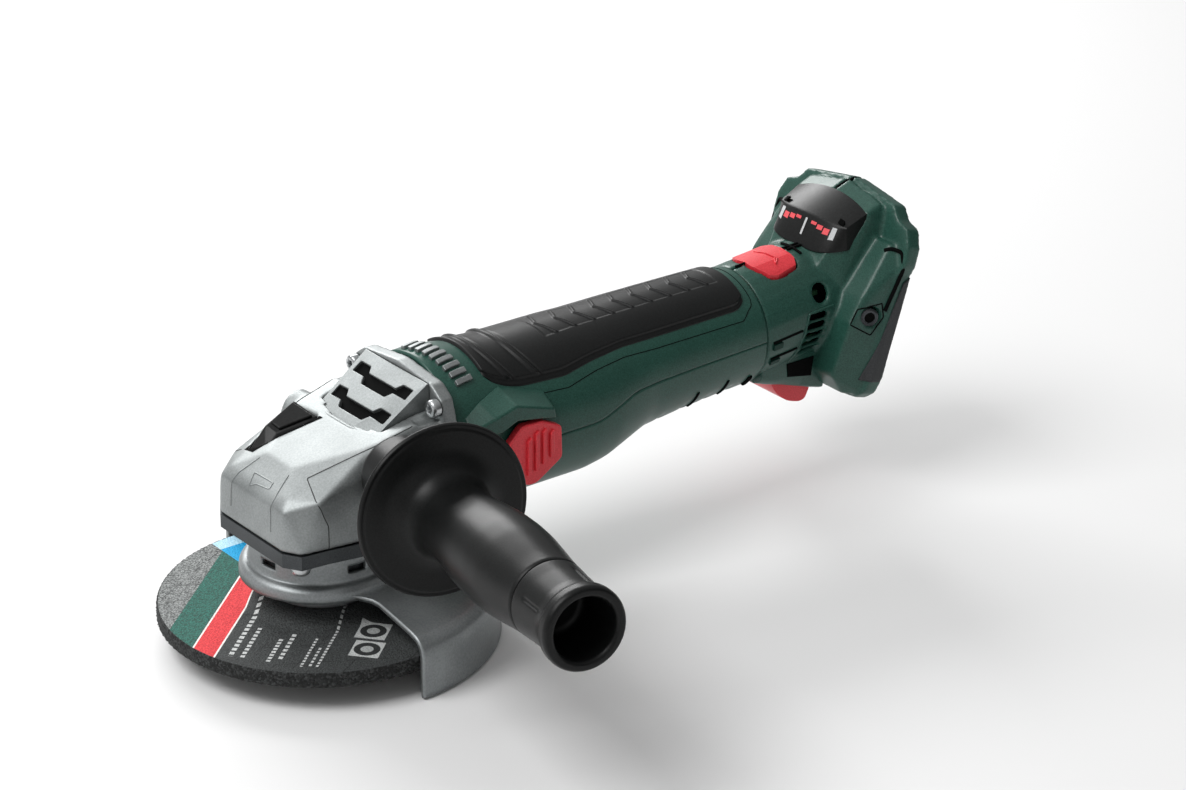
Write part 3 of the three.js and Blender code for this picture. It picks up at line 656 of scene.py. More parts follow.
def grip_pad():
    """x runs in rows and v from -1 to 1 across. The half angle is where the barrel is as wide as the pad's
    outline. Height is 1.45 under |v| 0.86 and 0.45 on the skirt, and sinks at the edge and at both ends."""
    x = np.linspace(PAD_FRONT, PAD_REAR, 420)
    v = np.linspace(-1, 1, 141)
    _, _, half = section(x)
    reach = np.arcsin(softened(x, PAD_EDGE[:, 0], PAD_EDGE[:, 1], 3) / half)
    corner = np.clip(np.minimum(x - PAD_FRONT, PAD_REAR - x) / 9, 0, 1)
    reach = reach * (0.86 + 0.14 * np.sqrt(1 - (1 - corner) ** 2))
    X, V = np.meshgrid(x, v, indexing="ij")
    ends = np.minimum(ramp(PAD_FRONT, 62.0, X), ramp(PAD_REAR, 189.1, X))
    step = ramp(0.90, 0.86, np.abs(V))
    rim = ramp(1.0, 0.975, np.abs(V))
    height = ends * rim * (0.45 + 1.0 * step) - 0.5 * (1 - ends * rim)
    bow = X - 7.0 * np.abs(V) ** 2.2
    for place in (66.0, 78.5):
        height += 0.95 * step * ends * np.exp(-((bow - place) / 1.1) ** 4)
        height -= 0.55 * step * ends * np.exp(-((bow - place - 2.4) / 0.6) ** 2)
    mark = (X - 98) % 9.4
    arm = np.abs(V * 20) * 0.55
    line = np.exp(-(((mark - arm - 1.6) / 0.62) ** 6))
    field = ramp(97, 98, X) * ramp(184, 183, X) * ramp(0.36, 0.33, np.abs(V))
    height += (0.62 * line - 0.25) * field
    grid = on_barrel(X, reach[:, None] * V, height)
    return dressed(sheet("grip_pad_rubber", grid, sharp=60), black_rubber, "grip_pad")


pad = grip_pad()
print("grip pad", len(pad.data.polygons), "faces")

# %% [markdown]
# ## The side handle
# One hollow moulding turned about its own axis: a collar at the tool, a dished hand guard, a crowned
# grip and a seam, behind which the end cap opens in a ring.

# %% Side handle
HANDLE_ROOT = np.array([17.4, 0, 66.4])
HANDLE_AXIS = frame_along([-0.185, -1, 0.048])
GRIP_CURVE = np.array([[88, 14.4], [94, 14.6], [102, 15.4], [110, 16.4], [118, 17.1], [127, 17.4],
                       [136, 17.1], [145, 16.1], [153, 15.1], [159.2, 14.6]])


def on_handle(points):
    """Points with Z along the handle, put where the handle stands."""
    return np.asarray(points) @ HANDLE_AXIS.T + HANDLE_ROOT


def handle_grip():
    """The profile runs over the collar, the dish, the crown and the bore, and is turned to a closed ring."""
    s = np.linspace(GRIP_CURVE[0, 0], GRIP_CURVE[-1, 0], 40)
    crown = np.stack([softened(s, GRIP_CURVE[:, 0], GRIP_CURVE[:, 1], 4), s], -1)
    front = eased([[5.3, 34], [13.5, 34], [14.3, 36], [14.9, 60], [17, 67], [24, 71.5], [31.8, 73.4],
                   [33.2, 74.6], [32.4, 76.3], [31.2, 76.0], [30.4, 76.5], [22, 77], [16.6, 80], [14.6, 85]],
                  3.0, 8)
    inner = [[14.3, 159.5], [5.3, 159.5]]
    grid = turned(np.vstack([front, crown, inner]), 96)
    return dressed(shape("handle_grip_moulding", on_handle(grid), torus(*grid.shape[:2]), sharp=50),
                   black_nylon, "handle_grip")


def handle_cap():
    """The cap's wall dips in four short grooves along it. The radius loses 0.6 in the middle of a groove,
    and next to nothing 0.07 rad beside it or 7 mm before and behind it."""
    outer = eased([[14.3, 159.8], [14.65, 160.1], [14.2, 166], [13.8, 176], [14.2, 179.6], [15.3, 181.2],
                   [15.4, 184.8], [14.6, 186.4], [12.3, 186.4], [11.4, 185.2], [11.3, 164], [9.5, 162.6],
                   [0.02, 162.4]], 1.2, 7)
    dense = denser(outer, 4)
    grid = turned(dense, 192)
    angle = np.arange(192) / 192 * 2 * math.pi
    near = np.abs((angle[None, :] - 0.35) % (math.pi / 2) - math.pi / 4)
    dip = 0.6 * np.exp(-((near / 0.045) ** 4)) * np.exp(-(((dense[:, 1:2] - 171) / 5.5) ** 8))
    outside = (dense[:, :1] > 13.2) & (dense[:, 1:2] < 180)
    scale = 1 - np.where(outside, dip, 0) / np.maximum(dense[:, :1], 1)
    grid[..., :2] *= scale[..., None]
    return dressed(sheet("handle_cap_moulding", on_handle(grid), True, sharp=50), black_nylon, "handle_cap")


grip = handle_grip()
cap = handle_cap()
print("handle", len(grip.data.polygons), "and", len(cap.data.polygons), "faces")

# %% [markdown]
# ## Guard
# Pressed steel sheet, 1.9 mm thick. A ring of it clamps on the neck: collar, rolled bead and lip all the
# way round. The plate and the skirt only cover the rear half, and where the plate leaves the ring its
# edge runs out in a 10 mm fillet.

# %% Guard


GUARD_WALL = 1.9
SLOT_ANGLES, SLOT_HALF, SLOT_LOW, SLOT_HIGH = (-170, -94, -20, 56, 130), 8.2, 28, 31.2


def guard_ring():
    """The ring is turned from its outer line. Faces inside a slot's angle and height are left out, and the
    sheet is thickened inwards, which gives the slots their walls."""
    line = eased([[27, 35.7], [27, 31.2], [27, 28], [27, 24.6], [29.2, 24.0], [30.7, 22.6], [31.0, 20.6],
                  [31.0, 18.7]], 1.6, 5)
    steps = 240
    grid = turned(line, steps)
    angle = np.degrees((np.arange(steps) + 0.5) / steps * 2 * math.pi)
    middle = (line[:-1, 1] + line[1:, 1]) / 2
    beside = [np.abs((angle - place + 180) % 360 - 180) < SLOT_HALF for place in SLOT_ANGLES]
    slot = np.any(beside, 0)[None, :] & ((middle > SLOT_LOW) & (middle < SLOT_HIGH))[:, None]
    return sheet("guard_ring_sheet", grid, True, ~slot)


def guard_plate():
    """Rows run down the profile, columns across the sweep. At radius r the sweep ends at the fillet: with
    the fillet's centre at distance d and angle m, the end is m - acos((r^2 + d^2 - 100) / 2rd), and beyond
    the fillet it is the angle whose x is -0.6."""
    profile = eased([[29.6, 22.3], [31.2, 20.6], [45, 18.4], [58, 16.3], [62.6, 15.0], [65.4, 12.6],
                     [66.5, 9.2], [66.5, -2.6], [66.7, -6.6], [67.1, -7.5]], 3.5, 9)
    dense = denser(profile, 3)
    r = dense[:, 0]
    d, m = 41.0, math.atan2(math.sqrt(41.0**2 - 10.6**2), -10.6)
    swing = np.arccos(np.clip((r**2 + d**2 - 100) / (2 * r * d), -1, 1))
    end = np.where(r < 39.6, np.minimum(m - swing, m), math.pi / 2 + np.arcsin(0.6 / r))
    end = np.where(r < 31.02, m, end)
    share = np.linspace(-1, 1, 181)
    a = end[:, None] * share[None, :]
    grid = np.stack([r[:, None] * np.cos(a), r[:, None] * np.sin(a), np.repeat(dense[:, 1:2], 181, 1)], -1)
    return sheet("guard_plate_sheet", grid)


ring = dressed(thickened(guard_ring(), GUARD_WALL), guard_sheet, "guard")
plate = dressed(thickened(guard_plate(), GUARD_WALL), guard_sheet, body="guard")
print("guard", len(ring.data.polygons), "and", len(plate.data.polygons), "faces")

# %% [markdown]
# ## Grinding disc
# A turned shape with a raised centre. Its rim is broken by grit, so the rim's radius wanders by a few
# tenths of a millimetre, worked out from sums of sines rather than from chance.

# %% Grinding disc


def grinding_disc():
    """Radius of the rim: 62.15 + 0.11 times a sum of sines of the angle and height, whose periods are about
    the grit's size and never repeat together."""
    line = [[11.2, 5.6], [22.5, 5.6], [30, 1.05], [61.8, 1.05], [62.4, 1.6]]
    rim = np.stack([np.full(9, 62.4), np.linspace(1.6, 6.4, 9)], -1)
    over = [[61.9, 6.98], [59, 7.0], [45, 7.0], [30, 7.0], [22.5, 11.6], [11.2, 11.6]]
    profile = np.vstack([eased(line, 0.8, 3), rim[1:-1], eased(over, 0.8, 3)])
    steps = 420
    grid = turned(profile, steps)
    a = np.arange(steps) / steps * 2 * math.pi
    z = profile[:, 1:2]
    rough = np.sin(173 * a + 5.1 * z) + np.sin(97 * a - 3.7 * z) + np.sin(261 * a + 2.3 * z) * np.sin(41 * a)
    at_rim = (profile[:, :1] > 61.7).astype(float)
    grid[..., :2] *= (1 + at_rim * (0.11 * rough - 0.25) / 62.4)[..., None]
    return dressed(shape("bonded_grinding_disc", grid, torus(*grid.shape[:2])), disc_face, "grinding_disc")


disc = grinding_disc()
print("disc", len(disc.data.polygons), "faces")

# %% [markdown]
# ## Slide switch and its visor
# The red slide is a flat moulded plate whose outline leans with the hand, with upright ribs for the
# thumb. Above it the housing grows a visor that keeps it from being pushed by accident.

# %% Visor
VISOR = np.array([  # four points each: inside back, inside front, outside front, foot on the barrel
    [[46.5, -30.6, 68.0], [46.5, -32.4, 68.4], [46.5, -32.2, 72.5], [46.2, -27.6, 77.0]],
    [[58.6, -30.6, 70.2], [58.8, -35.5, 70.4], [55.6, -35.5, 77.0], [54.6, -25.6, 81.0]],
    [[65.4, -30.6, 73.0], [65.5, -35.6, 73.2], [65.0, -35.6, 79.6], [65.3, -22.0, 83.0]],
    [[83.6, -30.0, 69.4], [83.7, -35.4, 69.6], [82.6, -35.4, 73.9], [84.2, -25.6, 77.6]]])


def visor():
    """A closed loop of four points carried through four sections, with a lid at either end."""
    return shape("switch_visor", VISOR, tube(*VISOR.shape[:2]), sharp=25)


on_tool(bevelled(visor(), 0.9, 4, 20), green_nylon)

# %% Slide switch
SLIDE = [[61.5, 64.4], [67.6, 70.4], [77, 70.2], [86, 65.8], [86.4, 52.6], [74.4, 45.2], [70, 45.2],
         [61.5, 52]]


def plate_between(name, outline, front, back):
    """An outline of (x, z), drawn at y = front and again at y = back, with walls between them."""
    flat = np.asarray(outline, float)
    n = len(flat)
    points = np.vstack([np.column_stack([flat[:, 0], np.full(n, y), flat[:, 1]]) for y in (front, back)])
    return shape(name, points, prism(n), sharp=30)


slide = dressed(bevelled(plate_between("slide_switch_plate", eased(SLIDE, 1.5, 4, True), -35.3, -31.6), 0.7),
                red_acetal, "slide_switch")
RIBS = [(69.4, 49.5, 65.8), (72.9, 50.6, 67.8), (76.4, 52.4, 67.8), (79.9, 54.4, 66.4)]  # x, low and high z
for k, (x, low, high) in enumerate(RIBS, 1):
    outline = [[x, low], [x + 1.9, low + 1.6], [x + 1.9, high - 0.6], [x, high - 2.2]]
    rib = plate_between(f"slide_switch_rib_{k}", outline, -36.5, -35.0)
    dressed(bevelled(rib, 0.45), red_acetal, body="slide_switch")
print("slide", len(slide.data.polygons), "faces and", len(RIBS), "ribs")

# %% Rear lever
LEVER = [[208.6, 46], [209.0, 41.4], [211.2, 37.4], [214.4, 34.0], [218.5, 31.2], [224.5, 29.4],
         [227.4, 30.0], [229.4, 34], [231, 39], [231, 46]]
lever = plate_between("rear_lever_moulding", eased(LEVER, 2.0, 4, True), -12.6, 12.6)
dressed(bevelled(lever, 1.6, 4), red_acetal, "rear_lever")

# %% Bumper strips


def surface_of(piece):
    """The piece's finished surface as a tree that answers where a ray lands or which point is nearest."""
    return BVHTree.FromObject(piece, bpy.context.evaluated_depsgraph_get())


BUMPER = [[254.6, 82.6], [258.2, 84.0], [243.9, 42.2], [235.6, 44.0]]


def strip_on_foot(side, word):
    """A grid between the strip's four corners in x and z. Each point slides in along y until it meets the
    shell and stays 0.6 outside; where a ray misses, it takes the depth of the point before."""
    tree = surface_of(REAR_SHELL[side])
    points, last = [], 39.0
    for u in np.linspace(0, 1, 60):
        for v in np.linspace(0, 1, 14):
            x, z = blend(np.array(BUMPER), u, v)
            hit = tree.ray_cast([x * MM, side * 0.06, z * MM], [0, -side, 0])[0]
            if hit and abs(hit[1]) / MM > 34:
                last = abs(hit[1]) / MM
            points.append([x, side * (last + 0.6), z])
    sheet = shape(f"bumper_{word}_strip", points, quads(60, 14), closed=False)
    return dressed(thickened(sheet, 1.4), grey_rubber, f"bumper_{word}")


for side, word in SIDES:
    strip_on_foot(side, word)

# %% [markdown]
# ## Screws
# Pan heads with a six-lobed socket. The head is turned, and the socket's rim is a circle of 0.47 times the
# head's radius that swells and shrinks six times: r (1 + 0.13 cos 6a).

# %% Screw heads


def screw_head(name, at, axis, radius, rise, node, material=ground_steel):
    """Rows of the head, then rows of the socket, whose radii swell and shrink with the angle."""
    steps = 72
    a = np.arange(steps) / steps * 2 * math.pi
    lobe = 1 + 0.13 * np.cos(6 * a)
    rim = radius * 0.47
    rows = [(radius * 0.98, 0.0), (radius, 0.25 * rise), (radius, 0.55 * rise), (radius * 0.94, 0.8 * rise),
            (radius * 0.82, 0.95 * rise), (radius * 0.62, rise)]
    socket = [(rim * 1.06, rise), (rim, rise - 0.12), (rim * 0.97, 0.35 * rise), (rim * 0.5, 0.3 * rise),
              (0.01, 0.28 * rise)]
    lobes = turned(socket, steps) * np.stack([lobe, lobe, np.ones(steps)], -1)[None]
    grid = np.concatenate([turned(rows, steps), lobes]) @ frame_along(axis).T + np.asarray(at, float)
    return dressed(sheet(name, grid, True, sharp=40), material, node)


for k, (y, z) in enumerate([(-25.7, 83.7), (25.7, 83.7), (-21, 31.6), (21, 31.6)], 1):
    screw_head(f"case_screw_head_{k}", [35.3, y, z], [-1, 0, 0], 3.5, 3.4, f"case_screw_{k}")
for k, (x, y) in enumerate([(-23.2, -21.8), (-23.2, 21.8), (23.2, -21.8), (23.2, 21.8)], 1):
    screw_head(f"cover_screw_head_{k}", [x, y, 35.0], [0, 0, -1], 3.6, 3.2, f"cover_screw_{k}")
screw_head("rear_screw_head_1", [241, -32.4, 70.6], [0, -1, 0], 3.2, 2.6, "rear_screw_1")
screw_head("rear_screw_head_2", [226.3, -11.5, 79.3], [0, -1, 0], 3.0, 2.2, "rear_screw_2", black_nylon)

# %% [markdown]
# ## Lines and small marks
# Panel joints and grooves are finer than any grid here could carry, so each is a thin dark bead laid half
# sunk in the surface: its path is snapped to the nearest point of the piece it runs over.

# %% Helpers for lines and patches


def snapped(points, target):
    """Each point moved to the nearest point of the target's surface."""
    tree = surface_of(target)
    found = [tree.find_nearest((np.asarray(p, float) * MM).tolist()) for p in points]
    return np.array([np.array(place) / MM for place, _, _, _ in found])


def drawn_out(points, step=0.8):
    """The same path with a point every step millimetres."""
    points = np.asarray(points, float)
    along = np.concatenate([[0], np.cumsum(np.linalg.norm(np.diff(points, axis=0), axis=1))])
    s = np.linspace(0, along[-1], max(2, int(along[-1] / step) + 1))
    return np.stack([np.interp(s, along, points[:, k]) for k in range(3)], -1)


def bead(name, path, radius, sides=8):
    """A circle carried along a path: at every point it stands square to the path's direction, on two axes
    made from that direction and one fixed vector."""
    way = np.gradient(path, axis=0)
    way /= np.linalg.norm(way, axis=1)[:, None]
    side = np.cross(way, [0.31, 0.22, 0.92])
    side /= np.linalg.norm(side, axis=1)[:, None]
    other = np.cross(way, side)
    a = (np.arange(sides) / sides * 2 * math.pi)[None, :, None]
    grid = path[:, None] + radius * (np.cos(a) * side[:, None] + np.sin(a) * other[:, None])
    return shape(name, grid, tube(len(path), sides), sharp=70)


def line_on(name, points, target, radius):
    """A bead along the nearest points of the target to a path."""
    return bead(name, snapped(drawn_out(points), target), radius)


def slab(name, corners, height, depth=0.4):
    """A flat patch with thickness: its outline, raised along its own normal by height and sunk by depth.
    The normal is the sum of the cross products of neighbouring corners."""
    corners = np.asarray(corners, float)
    arm = corners - corners.mean(0)
    normal = np.cross(arm, np.roll(arm, -1, 0)).sum(0)
    normal /= np.linalg.norm(normal)
    points = np.vstack([corners + normal * height, corners - normal * depth])
    return shape(name, points, prism(len(corners)), sharp=30)


# %% Marks on the gear case
PANEL = [[24, 26.3, 79.6], [7, 25, 75.3], [-15.5, 16.5, 64.8], [-18.2, 25.5, 60.8], [-17.5, 29.5, 56],
         [-16, 30, 52], [-15.6, 29.2, 46], [-15.4, 28.7, 42.5]]
NOSE = [[-19.5, 9.6, 65.8], [-27.5, 12.6, 60.4], [-30.2, 13.2, 55], [-30.4, 13.4, 47.6]]
WEDGE = [[-24.2, 5.6, 62.4], [-23.9, -6.4, 62.6], [-26.2, -6.9, 60.9], [-26.9, 0.5, 60.4], [-28.6, 3.2, 59.2],
         [-24.2, 5.6, 62.4]]
for side, word in SIDES:
    mirror = np.array([1, side, 1])
    on_tool(line_on(f"case_panel_joint_{word}", PANEL * mirror, gear_case, 0.2), cast_shadow)
    on_tool(line_on(f"nose_panel_edge_{word}", NOSE * mirror, gear_case, 0.28), cast_alloy)
on_tool(line_on("nose_wedge_mark", WEDGE, gear_case, 0.26), cast_alloy)

# %% Shadow round the lock's pocket
POCKET = np.array([[7.0, 7.2], [6.2, 24.8], [-18.6, 21.6], [-18.8, 15.6]])


def lock_pocket_painted_shadow():
    """A thin sheet of painted shadow 0.12 over the casting, between the pocket's corners in x and y. A ray
    that falls along -Z finds the casting's height, and only points less than 0.9 under the plane of the
    corners are kept."""
    tree = surface_of(gear_case)

    def height(x, y):
        return tree.ray_cast([x * MM, y * MM, 0.1], [0, 0, -1])[0][2] / MM

    edge = [height(x, y) for x, y in POCKET]
    points, in_painted_shadow = [], []
    for u in np.linspace(0, 1, 48):
        for v in np.linspace(0, 1, 34):
            x, y = blend(POCKET, u, v)
            z = height(x, y)
            points.append([x, y, z + 0.12])
            in_painted_shadow.append(z > blend(edge, u, v) - 0.9)
    cells = quads(48, 34)
    used, cells = np.unique(cells[np.array(in_painted_shadow)[cells].all(1)], return_inverse=True)
    return shape("lock_pocket_painted_shadow", np.array(points)[used], cells.reshape(-1, 4), closed=False)


on_tool(lock_pocket_painted_shadow(), joint_shadow)

# %% Shadows and fillets of the air inlet
LEAN = math.atan2(91.3 - 75.1, 35.5 - 11.2)  # the slope of the vent, which starts at x 11.2, z 75.1
zigzag = np.array([[-17, 1.6], [-9.5, 1.6], [-7.5, -1.4], [7.5, -1.4], [9.5, 1.6], [17, 1.6], [17, 6.4],
                   [10.5, 6.4], [8.5, 3.6], [-8.5, 3.6], [-10.5, 6.4], [-17, 6.4]])
for k, along in enumerate([5.4, 17.6], 1):
    u, w = along + zigzag[:, 1], -1.5
    sunk = np.stack([11.2 + u * math.cos(LEAN) - w * math.sin(LEAN), zigzag[:, 0] * 1.01,
                     75.1 + u * math.sin(LEAN) + w * math.cos(LEAN)], -1)
    on_tool(slab(f"air_inlet_shadow_{k}", sunk, 0.0, 0.5), joint_shadow)
foot = [[9.6, -6.1, 75], [12.7, -18.6, 75.2], [35.6, -20.1, 76], [35.6, 20.1, 76], [12.7, 18.6, 75.2],
        [9.6, 6.1, 75], [9.6, -6.1, 75]]
for k, (first, after) in enumerate([(0, 2), (3, 6), (5, 7)], 1):
    on_tool(line_on(f"air_inlet_fillet_{k}", foot[first:after], gear_case, 1.2), cast_alloy)

# %% Thumb plate on the lock button
top_face = np.array([[-8.5, 14.5, 70.4], [6.8, 9.5, 74.8], [5, 23.5, 77], [-9.8, 20, 72.4]])
inset = top_face.mean(0) + (top_face - top_face.mean(0)) * 0.8
dressed(bevelled(slab("lock_thumb_plate", inset, 1.3), 0.5), dark_cover, body="spindle_lock")

# %% [markdown]
# ## Raised bars in place of lettering
# Nine slanted bars, cast in the alloy's colour, stand on the housing's shoulder, and short bars mark the
# state window. They carry no meaning.

# %% Shoulder bars


def bar_on_barrel(name, x0, length, start, width, slant, rise):
    """A parallelogram in (x, degrees) laid on the barrel: degrees shift by slant along x. Every point of a
    small grid is put on the ellipse, once raised by rise and once sunk, and walls join the two edges."""
    u, v = np.meshgrid(np.linspace(0, 1, 9), np.linspace(0, 1, 5), indexing="ij")
    x = x0 + u * length
    angle = np.radians(start + v * width + u * slant)
    top, foot = on_barrel(x, angle, rise), on_barrel(x, angle, -0.6)
    index = np.arange(45).reshape(9, 5)
    edge = np.concatenate([index[:, 0], index[-1, 1:], index[-2::-1, 4], index[0, 3:0:-1]])
    walls = np.stack([edge, np.roll(edge, -1), np.roll(edge, -1) + 45, edge + 45], -1)
    faces = np.vstack([quads(9, 5), quads(9, 5) + 45, walls])
    return shape(name, [top, foot], faces, sharp=30)


for k in range(9):
    bar = bar_on_barrel(f"shoulder_bar_{k + 1}", 48.2 - 0.6 * k, 7.8, -40 + k * 6.4, 3.9, 2.6, 1.3)
    on_tool(bevelled(bar, 0.3, 2), cast_alloy)

# %% [markdown]
# ## State window
# A smoked black cover under the top edge: a sloping roof, and a bowed face that shows six red marks and
# three grey ones. One surface joins five arcs.

# %% Indicator cover


def indicator():
    """Five arcs over y: the roof's foot, its ridge, the brow, the chin, and the chin's back. On each arc x
    and z change with the square of y over its half width, the chin's x with the sixth power. Between arcs
    the grid runs straight, with rounded corners. An arc is x, its change, its power, z, its change, and
    the half width."""
    arcs = [(252.0, -0.8, 2, 104.5, -2.0, 20.9), (251.2, -1.1, 2, 112.2, -4.3, 20.8),
            (237.4, 2.3, 2, 104.6, -1.1, 19.8), (230.9, 8.6, 6, 92.0, 2.3, 20.9),
            (240.0, 5.0, 2, 92.4, 2.3, 20.4)]
    share = np.linspace(-1, 1, 49)
    rows = np.stack([np.stack([x + dx * np.abs(share) ** power, half * share, z + dz * share**2], -1)
                     for x, dx, power, z, dz, half in arcs])
    fine = np.stack([eased(rows[:, j], 0.8, 4) for j in range(49)], 1)
    n = len(fine)
    faces = [list(f) for f in quads(n, 49)] + [[i * 49 for i in range(n)], [i * 49 + 48 for i in range(n)]]
    back = [[(n - 1) * 49 + j, (n - 1) * 49 + j + 1, j + 1, j] for j in range(48)]
    return shape("indicator_window", fine, faces + back, sharp=28)


dressed(indicator(), dark_cover, "indicator_cover")


def on_window(y, down, lift=0.12):
    """The point on the window's face at y, a share down from brow (0) to chin (1), lifted forward."""
    s = (np.asarray(y) / 20.4) ** 2
    brow, chin = 237.4 + 2.3 * s, 230.9 + 8.6 * s**3
    x = brow + (chin - brow) * down - lift
    z = 104.6 - 1.1 * s + (-12.6 + 3.4 * s) * down + 0.4 * lift
    return np.stack([x, y, z], -1)


# Each mark is its middle y, its width, its top and height as shares of the way down, and its ink.
marks = [(sign * (4.6 + 3.7 * k), 3.0, 0.16 + 0.03 * k, 0.09 + 0.05 * k, mark_red)
         for sign in (-1, 1) for k in range(3)]
marks += [(sign * 15.4, 2.2, 0.12, 0.42, mark_grey) for sign in (-1, 1)]
marks += [(0.0, 1.1, 0.14, 0.5, mark_grey)]
for k, (y, width, top, tall, finish) in enumerate(marks):
    y0, y1 = y - width / 2, y + width / 2
    corners = on_window(np.array([y0, y1, y1, y0]), np.array([top, top, top + tall, top + tall]))
    patch = shape(f"window_mark_{k + 1}", corners, [[0, 1, 2, 3]], closed=False)
    on_rear(patch, finish)
for side, word in SIDES:
    corner = [[238.9, side * 15.6, 104.9], [240.8, side * 15.2, 106.3], [241.2, side * 17.6, 105.6],
              [239.7, side * 18.2, 103.9]]
    # Each clip recess is a small dark block of painted shade.
    patch = slab(f"window_clip_recess_shade_{word}", corner[::side], 0.25, 0.6)
    on_rear(bevelled(patch, 0.2, 2), joint_shadow)
print(len(marks), "marks in the window")

# %% [markdown]
# ## The neck and its marks
# The turning rear housing starts as a round neck. It carries two index grooves, a plus-shaped mark, the
# frame round the air slots and, inside, a sleeve of painted shade that the slots look onto.

# %% Neck details


def on_neck(x, degrees, out=0.0):
    """The neck is a circle of radius 24 whose middle climbs from 66.3 to 69.5."""
    middle = np.interp(x, [197, 208, 222, 240], [66.3, 67.4, 68.8, 69.5])
    a, r = np.radians(degrees), 24 + out
    return np.stack([np.asarray(x, float), r * np.sin(a), middle + r * np.cos(a)], -1)


# The sleeve stands along X: turned about Z, then its axes are taken in the order z, x, y.
sleeve = turned([[17.2, 205.5], [17.2, 232], [21.4, 232.5], [0.02, 233]], 64)[..., [2, 0, 1]] + [0, 0, 67.6]
# The sleeve is painted shade: a dark surface that stands for the shaded inside of the neck, seen through the
# slots.
on_rear(sheet("neck_sleeve_of_painted_shade", sleeve, True), joint_shadow)
PAD_X = np.array([199.8, 204.4, 204.4, 199.8])
FRAME = np.array([[231.0, 78.5], [218.6, 78.5], [216.2, 96], [213.6, 118], [211.8, 134]])  # x and degrees
for side, word in SIDES:
    for k, (start, stop, x_end) in enumerate([(91, 100, 215), (109, 117, 213.4)], 1):
        # Each index pad is a patch of painted shade: the darker copy of the green, where its recess lies in
        # shade.
        patch = on_neck(PAD_X, side * np.array([start + 3.5, start + 3.5, stop, stop]), 0.04)
        on_rear(slab(f"index_pad_{word}_{k}", patch[::-side], 0.06, 0.8), shaded_green)
        groove = on_neck(np.linspace(PAD_X[0], x_end, 18), np.full(18, side * (start + 1.5)))
        on_rear(bead(f"index_groove_{word}_{k}", groove, 0.5), joint_shadow)
    frame_path = drawn_out(on_neck(FRAME[:, 0], side * FRAME[:, 1]), 0.7)
    on_rear(bead(f"vent_frame_{word}", frame_path, 0.55), green_nylon)
for k, (x0, a0, x1, a1) in enumerate([(226.9, 10.5, 227.3, -17.5), (224.2, -5.5, 231.2, -5.5)], 1):
    path = on_neck(np.linspace(x0, x1, 20), np.linspace(a0, a1, 20), -0.1)
    on_rear(bead(f"plus_recess_{k}", path, 0.62), joint_shadow)
arrow = drawn_out([[213.6, 5.8, 0], [216.2, -5.6, 0], [213.4, -8.0, 0], [215.2, -5.0, 0]], 0.5)
degrees = np.degrees(np.arcsin(arrow[:, 1] / 24))
dressed(bead("button_arrow", on_neck(arrow[:, 0], degrees, 0.45), 0.34), red_acetal, body="swivel_button")

# %% Cheeks under the neck
CHEEK = np.array([[198.6, 45.2], [203.4, 43.4], [212, 41.0], [227, 35.9], [238.5, 32.6], [259, 22.9]])


def cheek(side, word):
    """Stations along x. Each is a loop of six points from the neck down to the cheek's lower edge and up
    the inside, 13.4 from the middle, where the lever moves. The lower edge drops with x as CHEEK says."""
    loops = []
    for x in np.linspace(198.6, 233, 24):
        low = np.interp(x, CHEEK[:, 0], CHEEK[:, 1])
        loop = [[18.6, 54], [18.9, max(low + 4, 46.5)], [17.0, low + 1.2], [14.6, low],
                [13.4, low + 0.8], [13.4, 54]]
        loops.append([[x, side * y, z] for y, z in loop])
    return shape(f"neck_cheek_{word}", loops, tube(24, 6), sharp=50)


front_wall = plate_between("neck_front_wall", [[198.6, 52], [202.6, 52], [202.6, 44.6], [198.6, 44.6]],
                           -14.2, 14.2)
on_rear(bevelled(front_wall, 0.8, 2), green_nylon)
MOUTH = np.array([[211.6, 19.0, 51.6], [225.4, 19.0, 51.6], [224.4, 18.9, 43.4], [211.9, 18.9, 46.0]])
for side, word in SIDES:
    on_rear(bevelled(cheek(side, word), 0.6, 2, 50), green_nylon)
    mouth = MOUTH * [1, side, 1]
    # The lower air opening is a dark patch of painted shade, where the opening's inside lies in shade.
    on_rear(slab(f"lower_air_opening_shade_{word}", mouth[::side], 0.15, 0.6), joint_shadow)

# %% Foot details
BOSS = np.array([[245.2, 36.7, 75.5], [246.0, 37.0, 69.5], [240.0, 36.3, 62.9], [231.3, 33.7, 68.8],
                 [234.8, 33.8, 74.6], [245.2, 36.7, 75.5]])
RING = turned([[2.0, 0.0], [2.2, 0.7], [3.0, 0.9], [3.6, 0.5], [3.7, 0.0]], 48)
# The well is a dark disc of painted shade in the screw's hole, inside its ring.
SCREW_WELL_SHADE = turned([[0.02, 0.35], [2.2, 0.35], [2.3, 0.1]], 48)
CHANNEL = eased([[250.5, 31.0, 95.2], [252.6, 33.2, 96.2], [254.4, 37.4, 95.4], [253.6, 39.4, 89.0],
                 [249.1, 38.2, 78.7], [246.2, 37.5, 72.3]], 1.5, 5)
for side, word in SIDES:
    mirror = np.array([1, side, 1])
    on_rear(line_on(f"foot_boss_edge_{word}", BOSS * mirror, REAR_SHELL[side], 0.28), joint_shadow)
    way, centre = frame_along([-0.45, side, 0.0]), np.array([239.2, side * 36.1, 70.9])
    for name, grid, finish in (("ring", RING, black_steel), ("well_shade", SCREW_WELL_SHADE, joint_shadow)):
        on_rear(sheet(f"foot_screw_{name}_{word}", grid @ way.T + centre, True), finish)
    # The channel is a dark bead of painted shade along the deep groove beside the bumper.
    on_rear(bead(f"foot_channel_shade_{word}", drawn_out(CHANNEL * mirror), 0.8, 12), joint_shadow)
